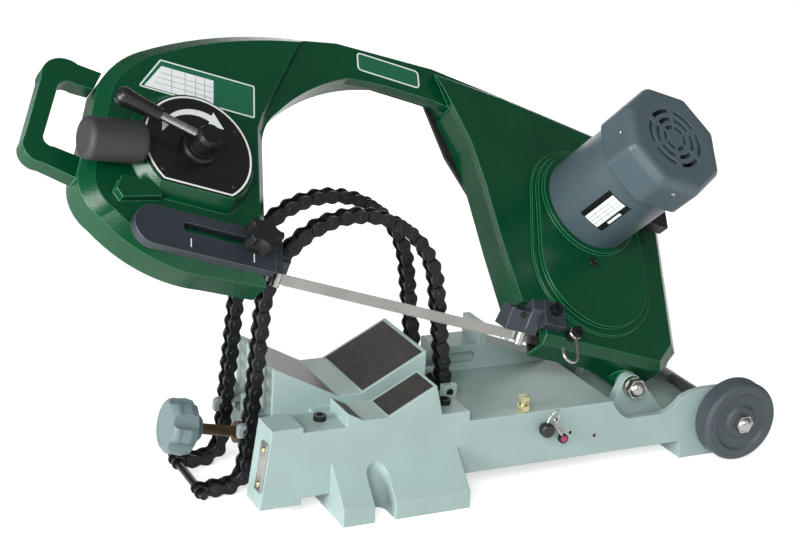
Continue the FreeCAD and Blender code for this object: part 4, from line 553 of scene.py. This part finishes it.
def arrow_head(angle, half, length, sign):
    """A three-cornered head across the stroke's end, bent along the curve."""
    turn = Matrix.Rotation(math.radians(angle), 2)
    tip = turn @ Vector((ARROW_RADIUS - length * HEAD_CURL, sign * length))
    outer, inner = turn @ Vector((ARROW_RADIUS + half, 0)), turn @ Vector((ARROW_RADIUS - half, 0))
    return [tuple(p) for p in ((outer, tip, inner) if sign > 0 else (inner, tip, outer))]


def make_disc():
    place = at(*DISC_CENTRE, DISC_TOP)
    border = Shape()
    border.ring(disc_outline(*BORDER_OUTER), disc_outline(*BORDER_INNER), 0, DISC_PRINT, place)
    border.done("disc_border", WHITE, "arm")
    arrow = Shape()
    for outline in [arrow_band()] + [arrow_head(*head) for head in ARROW_HEADS]:
        arrow.plate(outline, 0, DISC_PRINT, place=place)
    arrow.done("disc_arrow", WHITE, "arm")
    rivets = Shape()
    for angle in RIVET_ANGLES:
        turn = Matrix.Rotation(math.radians(angle), 4, "Z")
        spot = place @ Matrix.Translation(turn @ Vector((RIVET_CIRCLE, 0, 0)))
        rivets.lathe(RIVET_ROWS, spot, RIVET_STEPS)
    rivets.done("disc_rivets", BLACK, "arm", "black_plastic")


make_disc()

# Bare plate on the arm's face, with an empty table
FACE_LEVEL = 30.0
LABEL_CORNERS = [(-312, 196), (-155, 197), (-154, 247), (-283, 245)]
LABEL_ROUND = 4.0
LABEL_THICK = 0.3
LABEL_BORDER = (0.8, 2.6)
LABEL_PRINT = 0.15
TABLE_CORNERS = [(-303, 200), (-212, 200.5), (-211.5, 236), (-281, 235)]
TABLE_PRINT = 0.1
RULE_WIDTH = 0.6
RULE_COLUMNS = (-268, -250, -236, -224)
RULE_ROWS = (209, 217, 225)
RULE_LOW, RULE_HIGH = 202, 234
RULE_LEFT, RULE_RIGHT = -295, -213
# The table's leaning left side: its run for each unit up, and its run over a rule's width
RULE_LEAN, RULE_SLANT = 0.6, 0.4


def make_label():
    place = at(0, 0, FACE_LEVEL)
    corners = rounded(LABEL_CORNERS, LABEL_ROUND)
    plate = Shape()
    plate.plate(corners, 0, LABEL_THICK, place=place)
    plate.done("label_plate", PANEL, "arm")
    border = Shape()
    outer, inner = (inset(corners, depth) for depth in LABEL_BORDER)
    border.ring(outer, inner, LABEL_THICK, LABEL_THICK + LABEL_PRINT, place)
    border.done("label_border", WHITE, "arm")
    table = Shape()
    table_top = LABEL_THICK + TABLE_PRINT
    table.plate(TABLE_CORNERS, LABEL_THICK, table_top, place=place)
    table.done("label_table", WHITE, "arm")
    rules = Shape()
    strips = []
    for x in RULE_COLUMNS:
        right = x + RULE_WIDTH
        strips.append([(x, RULE_LOW), (right, RULE_LOW), (right, RULE_HIGH), (x, RULE_HIGH)])
    for y in RULE_ROWS:
        x = RULE_LEFT + (y - RULE_LOW) * RULE_LEAN
        high = y + RULE_WIDTH
        strips.append([(x, y), (RULE_RIGHT, y), (RULE_RIGHT, high), (x + RULE_SLANT, high)])
    for strip in strips:
        rules.plate(strip, table_top, table_top + TABLE_PRINT, place=place)
    rules.done("label_rules", LINES, "arm")


make_label()

# Bare badge on the arm's bridge
BRIDGE_LEVEL = 18.0
BADGE_CORNERS = [(5, 331), (103, 331), (103, 361), (5, 361)]
BADGE_ROUND = 8.0
BADGE_THICK = 0.6
BADGE_CHAMFER = 0.2
BADGE_BORDER = (0.6, 2.6)
BADGE_PRINT = 0.3


def make_badge():
    place = at(0, 0, BRIDGE_LEVEL)
    corners = rounded(BADGE_CORNERS, BADGE_ROUND)
    plate = Shape()
    plate.plate(corners, 0, BADGE_THICK, BADGE_CHAMFER, place)
    plate.done("badge_plate", PANEL, "arm")
    border = Shape()
    outer, inner = (inset(corners, depth) for depth in BADGE_BORDER)
    border.ring(outer, inner, BADGE_THICK, BADGE_THICK + BADGE_PRINT, place)
    border.done("badge_border", WHITE, "arm")


make_badge()

# Screw heads, in shares of their radius and height
SOCKET_SHARES = [(1.0, 0.0), (1.0, 0.8), (0.86, 1.0), (0.52, 1.0), (0.50, 0.5)]
SOCKET_TIP, SOCKET_FLOOR = 0.2, 0.45
SOCKET_STEPS = 24
DOME_SHARES = [(1.0, 0.0), (1.0, 0.3), (0.8, 0.75), (0.35, 1.0)]
DOME_STEPS = 18
# A small hole drawn as a thin dark disc: painted shade for the hole's inside
SPOT_THICK = 0.1
SPOT_INNER = 0.5
SPOT_STEPS = 16


def socket_screw(shape, place, radius, height):
    """A socket head with a rounded rim and a hollow top."""
    rows = [(radius * r, height * h) for r, h in SOCKET_SHARES]
    shape.lathe(rows + [(SOCKET_TIP, height * SOCKET_FLOOR)], place, SOCKET_STEPS)


def domed_screw(shape, place, radius, height):
    """A plain low head."""
    shape.lathe([(radius * r, height * h) for r, h in DOME_SHARES], place, DOME_STEPS)


def hole_shade_disc(shape, place, radius):
    """A thin dark disc that shows as a hole: painted shade for the hole's inside."""
    rows = [(radius, 0), (radius, SPOT_THICK), (radius * SPOT_INNER, SPOT_THICK)]
    shape.lathe(rows, place, SPOT_STEPS)


# Screw on the gear case: place on the arm, then radius and height
PAD_SCREW_PLACE = (347, 115, 40)
PAD_SCREW = (6.5, 3.0)


def make_pad_screw():
    screw = Shape()
    socket_screw(screw, at(*PAD_SCREW_PLACE), *PAD_SCREW)
    screw.done("pad_screw", OXIDE, "arm")


make_pad_screw()

# Bare plate on the motor: angles round it in degrees, levels along it, and layers on each other
MOTOR_AXIS = on_arm("rotor_spin")
MOTOR_RADIUS = 68.5
SHEET_ANGLES, SHEET_LEVELS = (-137, -104.5), (82, 144)
PANEL_ANGLES, PANEL_LEVELS = (-130.5, -112), (83.5, 142.5)
FIELD_ANGLES, FIELD_LEVELS = (-109.5, -106), (100, 126)
LINE_ANGLES, LINE_LEVELS = (-130, -112.5), (85, 141)
LINES_ALONG = (-126, -121.5, -117)
LINES_ROUND = (99, 113, 127)
LINE_HALF = 0.25
FIELD_STEPS, ALONG_STEPS, ROUND_STEPS = 4, 2, 8
SHEET_GAP, SHEET_THICK, PANEL_THICK, LINE_THICK = 0.05, 0.3, 0.12, 0.06
PANEL_LIFT = SHEET_GAP + SHEET_THICK
LINE_LIFT = PANEL_LIFT + PANEL_THICK


def motor_sheet(shape, angles, levels, lift, thick, steps=16):
    """A thin sheet wrapped on the motor's round side."""
    low, high = MOTOR_RADIUS + lift, MOTOR_RADIUS + lift + thick
    corners = [(low, levels[0]), (low, levels[1]), (high, levels[1]), (high, levels[0])]
    outlines = []
    for x, y in arc(1.0, angles[0], angles[1] - angles[0], steps):
        outlines.append([(MOTOR_AXIS[0] + r * x, MOTOR_AXIS[1] + r * y, w) for r, w in corners])
    shape.stack(outlines, ARM)


def make_motor_plate():
    plate = Shape()
    motor_sheet(plate, SHEET_ANGLES, SHEET_LEVELS, SHEET_GAP, SHEET_THICK)
    plate.done("motor_plate", DISC, "arm")
    panel = Shape()
    motor_sheet(panel, PANEL_ANGLES, PANEL_LEVELS, PANEL_LIFT, PANEL_THICK)
    motor_sheet(panel, FIELD_ANGLES, FIELD_LEVELS, PANEL_LIFT, PANEL_THICK, FIELD_STEPS)
    panel.done("motor_plate_panel", WHITE, "arm")
    rules = Shape()
    for angle in LINES_ALONG:
        angles = (angle - LINE_HALF, angle + LINE_HALF)
        motor_sheet(rules, angles, LINE_LEVELS, LINE_LIFT, LINE_THICK, ALONG_STEPS)
    for w in LINES_ROUND:
        levels = (w - LINE_HALF, w + LINE_HALF)
        motor_sheet(rules, LINE_ANGLES, levels, LINE_LIFT, LINE_THICK, ROUND_STEPS)
    rules.done("motor_plate_rules", LINES, "arm")


make_motor_plate()

# Screws on four sides of the fan cover
COVER_APOTHEM = 74.0
COVER_SCREW_LEVEL = 205.0
COVER_SCREW = (3.2, 1.6)


def make_cover_screws():
    screws = Shape()
    for quarter in range(4):
        turn = Matrix.Rotation(QUARTER * quarter, 4, "Z")
        place = at(*MOTOR_AXIS, COVER_SCREW_LEVEL) @ turn @ Matrix.Translation((COVER_APOTHEM, 0, 0))
        domed_screw(screws, place @ Matrix.Rotation(QUARTER, 4, "Y"), *COVER_SCREW)
    screws.done("cover_screws", STEEL, "arm", "steel")


make_cover_screws()

# Blade guides: a screw by the blade, a hole in the right bracket drawn as a disc of painted shade, and ticks on
# the guide bar
HOLDER_SCREW_PLACE = (224.6, -17, 32)
HOLDER_SCREW = (4.4, 1.8)
BRACKET_HOLE_PLACE = (269, 4, 44)
BRACKET_HOLE = 1.9
TICK_PLACES = (-248.6, -168)
TICK_HALF = 0.7
TICK_LOW, TICK_HIGH = -13, -2
BAR_TOP = 42.3
TICK_PRINT = 0.15


def make_guide_fittings():
    screw = Shape()
    socket_screw(screw, BLADE @ Matrix.Translation(HOLDER_SCREW_PLACE) @ ALONG_FRONT, *HOLDER_SCREW)
    screw.done("holder_screw", OXIDE, "arm")
    hole = Shape()
    hole_shade_disc(hole, at(*BRACKET_HOLE_PLACE), BRACKET_HOLE)
    hole.done("bracket_hole_shade", HOLE_SHADE, "arm")
    ticks = Shape()
    for u in TICK_PLACES:
        left, right = u - TICK_HALF, u + TICK_HALF
        corners = [(left, TICK_LOW), (right, TICK_LOW), (right, TICK_HIGH), (left, TICK_HIGH)]
        ticks.plate(corners, BAR_TOP, BAR_TOP + TICK_PRINT, place=ARM)
    ticks.done("guide_ticks", WHITE, "guide")


make_guide_fittings()

# Teeth along the blade's upright run
TEETH = 96
TEETH_LEFT = -106.0
TOOTH_PITCH = 3.2
TOOTH_DEPTH = 1.5
TOOTH_HALF = 0.3
TOOTH_RAKE = 0.2
TOOTH_ROOT = -6.4


def make_teeth():
    teeth = Shape()
    for k in range(TEETH):
        x = TEETH_LEFT + TOOTH_PITCH * k
        tip = (x + TOOTH_RAKE * TOOTH_PITCH, TOOTH_ROOT - TOOTH_DEPTH)
        corners = [(x, TOOTH_ROOT), (x + TOOTH_PITCH, TOOTH_ROOT), tip]
        teeth.stack([[(u, y, w) for u, w in corners] for y in (-TOOTH_HALF, TOOTH_HALF)], BLADE)
    teeth.done("blade_teeth", BAND, "arm", "blade_steel", TOOTH_ANGLE)


make_teeth()

# Screws round the rear cover
REAR_LEVEL = -20.0
REAR_SCREW = (5.0, 2.4)
REAR_SCREW_PLACES = (
    (-200, -8), (-322, 30), (-352, 78), (-335, 185), (-285, 236), (-188, 294), (-60, 332), (125, 352),
    (240, 344), (390, 327), (470, 282), (470, 40), (330, 4), (232, 125), (212, 205), (-125, 254), (-158, 165))


def make_rear_screws():
    screws = Shape()
    for u, v in REAR_SCREW_PLACES:
        domed_screw(screws, at(u, v, REAR_LEVEL) @ Matrix.Rotation(2 * QUARTER, 4, "X"), *REAR_SCREW)
    screws.done("rear_screws", STEEL, "arm", "steel")


make_rear_screws()

# Lock: two wire rings and a capped post by the base's front wall
LOCK_WIRE = 1.35
LOCK_WIRE_STEPS = 10
# Middle, direction along the wall, half length, half width and lean of each ring
LOCK_RINGS = (((243.5, -76.5, 85), (12, 25), 15.5, 6.0, 0.15),
              ((251.5, -77.5, 77.5), (14, -26), 14.5, 4.6, 0.9))
LOCK_POST = (261.5, -71, 58.5)
LOCK_RIM_ROWS = [(4.5, 0), (6.4, 1), (6.4, 6), (5.6, 7.2), (4.7, 7.2), (4.6, 6.2), (1, 6.2)]
LOCK_RIM_STEPS = 28
LOCK_DOME_ROWS = [(4.5, 6.2), (4.2, 7.0), (2.8, 7.8), (1.0, 8.1)]
LOCK_DOME_STEPS = 24


def wire_ring(centre, ahead, long, short, lean, steps=28):
    """Points of an oblong wire ring beside the base's front wall."""
    ahead = Vector((ahead[0], 0, ahead[1])).normalized()
    side = Vector((-ahead.z * math.cos(lean), math.sin(lean), ahead.x * math.cos(lean)))
    turns = [2 * math.pi * k / steps for k in range(steps)]
    return [Vector(centre) + ahead * long * math.cos(a) + side * short * math.sin(a) for a in turns]


def make_lock_fittings():
    wire = Shape()
    for ring in LOCK_RINGS:
        wire.tube(wire_ring(*ring), LOCK_WIRE, steps=LOCK_WIRE_STEPS, closed=True)
    wire.done("lock_wire", STEEL, "lock", "steel")
    place = Matrix.Translation(LOCK_POST) @ ALONG_FRONT
    rim = Shape()
    rim.lathe(LOCK_RIM_ROWS, place, LOCK_RIM_STEPS)
    rim.done("lock_cap", OXIDE, "lock")
    dome = Shape()
    dome.lathe(LOCK_DOME_ROWS, place, LOCK_DOME_STEPS)
    dome.done("lock_cap_top", RED, "lock")


make_lock_fittings()

# End plate's screws, from the CAD's sizes of the base's left corner and the plate
CORNER_LOW_LEFT, CORNER_HIGH_LEFT = 148.0, 135.0
CORNER_LOW, CORNER_HEIGHT = 16.0, 117.0
END_PLATE_WIDTH, END_PLATE_LENGTH, END_PLATE_THICK = 18.0, 62.0, 3.0
END_PLATE_LOW, END_PLATE_INSET = 38.0, 2.0
END_PLATE_SCREW = (4.2, 2.2)


def end_plate_place():
    """The plate's low outer corner, with Z up along the plate."""
    lean = math.atan2(CORNER_LOW_LEFT - CORNER_HIGH_LEFT, CORNER_HEIGHT - CORNER_LOW)
    reach = CORNER_LOW_LEFT - (END_PLATE_LOW - CORNER_LOW) * math.tan(lean) + END_PLATE_THICK + CLEARANCE
    spot = (-reach, END_PLATE_INSET - BASE_FRONT, END_PLATE_LOW)
    return Matrix.Translation(spot) @ Matrix.Rotation(lean, 4, "Y")


def make_end_plate_screws():
    screws = Shape()
    middle = END_PLATE_WIDTH / 2
    for z in (middle, END_PLATE_LENGTH - middle):
        place = end_plate_place() @ Matrix.Translation((0, middle, z))
        domed_screw(screws, place @ Matrix.Rotation(-QUARTER, 4, "Y"), *END_PLATE_SCREW)
    screws.done("end_plate_screws", ZINC, "base", "yellow_zinc")


make_end_plate_screws()

# Ridged facings of the vise's V seat: side, start and end from the middle, front and rear
JAWS = ((-1, 19, 100, 20, 141), (1, 19, 100, 20, 141), (-1, 18, 36, -62, -14), (1, 18, 77, -62, -14))
VISE_SLOPE = math.radians(28)
JAW_STEP = 4.5
JAW_VALLEY, JAW_CREST = 0.04, 0.28
JAW_DEPTH = 0.3


def seat_height(x):
    """The V seat's height at a distance from its middle, as in the CAD."""
    return PIPE_HEIGHT - PIPE_RADIUS / math.cos(VISE_SLOPE) + x * math.tan(VISE_SLOPE) - CLEARANCE


def make_jaws():
    jaws = Shape()
    for hand, start, end, front, rear in JAWS:
        halves = 2 * int((end - start) / JAW_STEP)
        ridge = []
        for k in range(halves + 1):
            x = start + (end - start) * k / halves
            ridge.append((x, seat_height(x) + (JAW_CREST if k % 2 else JAW_VALLEY)))
        under = [(x, seat_height(x) - JAW_DEPTH) for x in (end, start)]
        jaws.stack([[(hand * x, y, z) for x, z in ridge + under] for y in (front, rear)])
    jaws.done("vise_jaws", JAW, "base", angle=TOOTH_ANGLE)


make_jaws()

# Two rimmed holes in the base's front wall, their insides a disc of painted shade: across and up
FRONT_HOLES = ((277, 61), (314, 52))
HOLE_RADIUS = 2.6
HOLE_RIM = 3.9
HOLE_RIM_THICK = 0.3


def circle(radius, steps=12):
    """Points round a circle."""
    return arc(radius, 0, 360, steps)[:-1]


def make_front_holes():
    rims, holes = Shape(), Shape()
    for x, z in FRONT_HOLES:
        place = Matrix.Translation((x, -BASE_FRONT, z)) @ ALONG_FRONT
        rims.ring(circle(HOLE_RIM), circle(HOLE_RADIUS), 0, HOLE_RIM_THICK, place)
        hole_shade_disc(holes, place, HOLE_RADIUS)
    rims.done("front_hole_rims", STEEL, "base", "steel")
    holes.done("front_hole_shades", HOLE_SHADE, "base")


make_front_holes()

# Floor, light and camera, in metres
FLOOR_HALF = 6.0
FLOOR_LEVEL = -0.0006
FLOOR_COLOUR = (0.80, 0.80, 0.80, 1)
FLOOR_ROUGH = 0.9
FLOOR_SHINE = 0.1
FLOOR_GLOW = 0.58
WORLD_LIGHT, WORLD_SEEN = 0.24, 1.0
PURE_WHITE = (1, 1, 1, 1)
SUN_POWER = 2.3
SUN_SPREAD = math.radians(28)
SUN_AHEAD = Vector((0.55, 0.75, -0.55))
# Place, aim, power and width of the soft lights
SOFT_LIGHTS = {"left": ((-1.9, -0.6, 0.6), (-0.1, 0, 0.3), 42, 0.8),
               "fill": ((1.2, -2.2, 1.0), (0.1, 0, 0.3), 8, 1.2),
               "rear": ((0.9, 2.3, 0.6), (0.1, 0, 0.3), 10, 1.4)}
CAMERA_PLACE = Vector((-0.8333, -1.8262, 0.9469))
CAMERA_AIM = Vector((0.0336, -0.040, 0.2878))
CAMERA_ROLL = math.radians(3.2)
SENSOR_WIDTH = 36
# The photograph's width and focal length in pixels
IMAGE_WIDTH = 800
FOCAL_PIXELS = 1738


def either_ray(tree, first, second):
    """One for either kind of ray, and zero for the others."""
    path = tree.nodes.new("ShaderNodeLightPath")
    either = tree.nodes.new("ShaderNodeMath")
    either.operation = "MAXIMUM"
    for socket, ray in enumerate((first, second)):
        tree.links.new(path.outputs[ray], either.inputs[socket])
    return either.outputs[0]


def make_floor():
    """A pale matte floor that the camera and reflections see a little brighter."""
    mesh = bpy.data.meshes.new("floor")
    corners = [(-1, -1), (1, -1), (1, 1), (-1, 1)]
    mesh.from_pydata([(FLOOR_HALF * x, FLOOR_HALF * y, FLOOR_LEVEL) for x, y in corners], [], [(0, 1, 2, 3)])
    place_in_scene("floor", mesh)
    look = bpy.data.materials.new("floor")
    look.use_nodes = True
    tree = look.node_tree
    matte = tree.nodes["Principled BSDF"]
    matte.inputs["Base Color"].default_value = FLOOR_COLOUR
    matte.inputs["Roughness"].default_value = FLOOR_ROUGH
    matte.inputs["Specular IOR Level"].default_value = FLOOR_SHINE
    matte.inputs["Emission Color"].default_value = PURE_WHITE
    glow = tree.nodes.new("ShaderNodeMath")
    glow.operation = "MULTIPLY"
    glow.inputs[1].default_value = FLOOR_GLOW
    tree.links.new(either_ray(tree, "Is Camera Ray", "Is Glossy Ray"), glow.inputs[0])
    tree.links.new(glow.outputs[0], matte.inputs["Emission Strength"])
    mesh.materials.append(look)


def make_world():
    """Soft light from all round, before a white background."""
    world = bpy.data.worlds.new("studio")
    bpy.context.scene.world = world
    world.use_nodes = True
    tree = world.node_tree
    sky = tree.nodes["Background"]
    sky.inputs["Color"].default_value = PURE_WHITE
    level = tree.nodes.new("ShaderNodeMapRange")
    level.inputs["To Min"].default_value = WORLD_LIGHT
    level.inputs["To Max"].default_value = WORLD_SEEN
    tree.links.new(either_ray(tree, "Is Camera Ray", "Is Transmission Ray"), level.inputs["Value"])
    tree.links.new(level.outputs[0], sky.inputs["Strength"])


def aimed(ahead):
    """A light's rotation for a direction."""
    return ahead.to_track_quat("-Z", "Y").to_euler()


def make_lights():
    sun = bpy.data.lights.new("sun", "SUN")
    sun.energy = SUN_POWER
    sun.angle = SUN_SPREAD
    place_in_scene("sun", sun).rotation_euler = aimed(SUN_AHEAD)
    for name, (spot, aim, power, width) in SOFT_LIGHTS.items():
        lamp = bpy.data.lights.new(name, "AREA")
        lamp.energy = power
        lamp.size = width
        held = place_in_scene(name, lamp)
        held.location = spot
        held.rotation_euler = aimed(Vector(aim) - Vector(spot))


def make_camera():
    """The photograph's viewpoint, rolled a little."""
    back = (CAMERA_PLACE - CAMERA_AIM).normalized()
    right = Vector((0, 0, 1)).cross(back).normalized()
    up = back.cross(right)
    across = right * math.cos(CAMERA_ROLL) + up * math.sin(CAMERA_ROLL)
    above = up * math.cos(CAMERA_ROLL) - right * math.sin(CAMERA_ROLL)
    data = bpy.data.cameras.new("camera")
    data.sensor_fit = "HORIZONTAL"
    data.sensor_width = SENSOR_WIDTH
    data.lens = SENSOR_WIDTH * FOCAL_PIXELS / IMAGE_WIDTH
    held = place_in_scene("camera", data)
    held.matrix_world = Matrix((across, above, back)).transposed().to_4x4()
    held.location = CAMERA_PLACE
    bpy.context.scene.camera = held


make_floor()
make_world()
make_lights()
make_camera()
bpy.context.scene.view_settings.view_transform = "Standard"
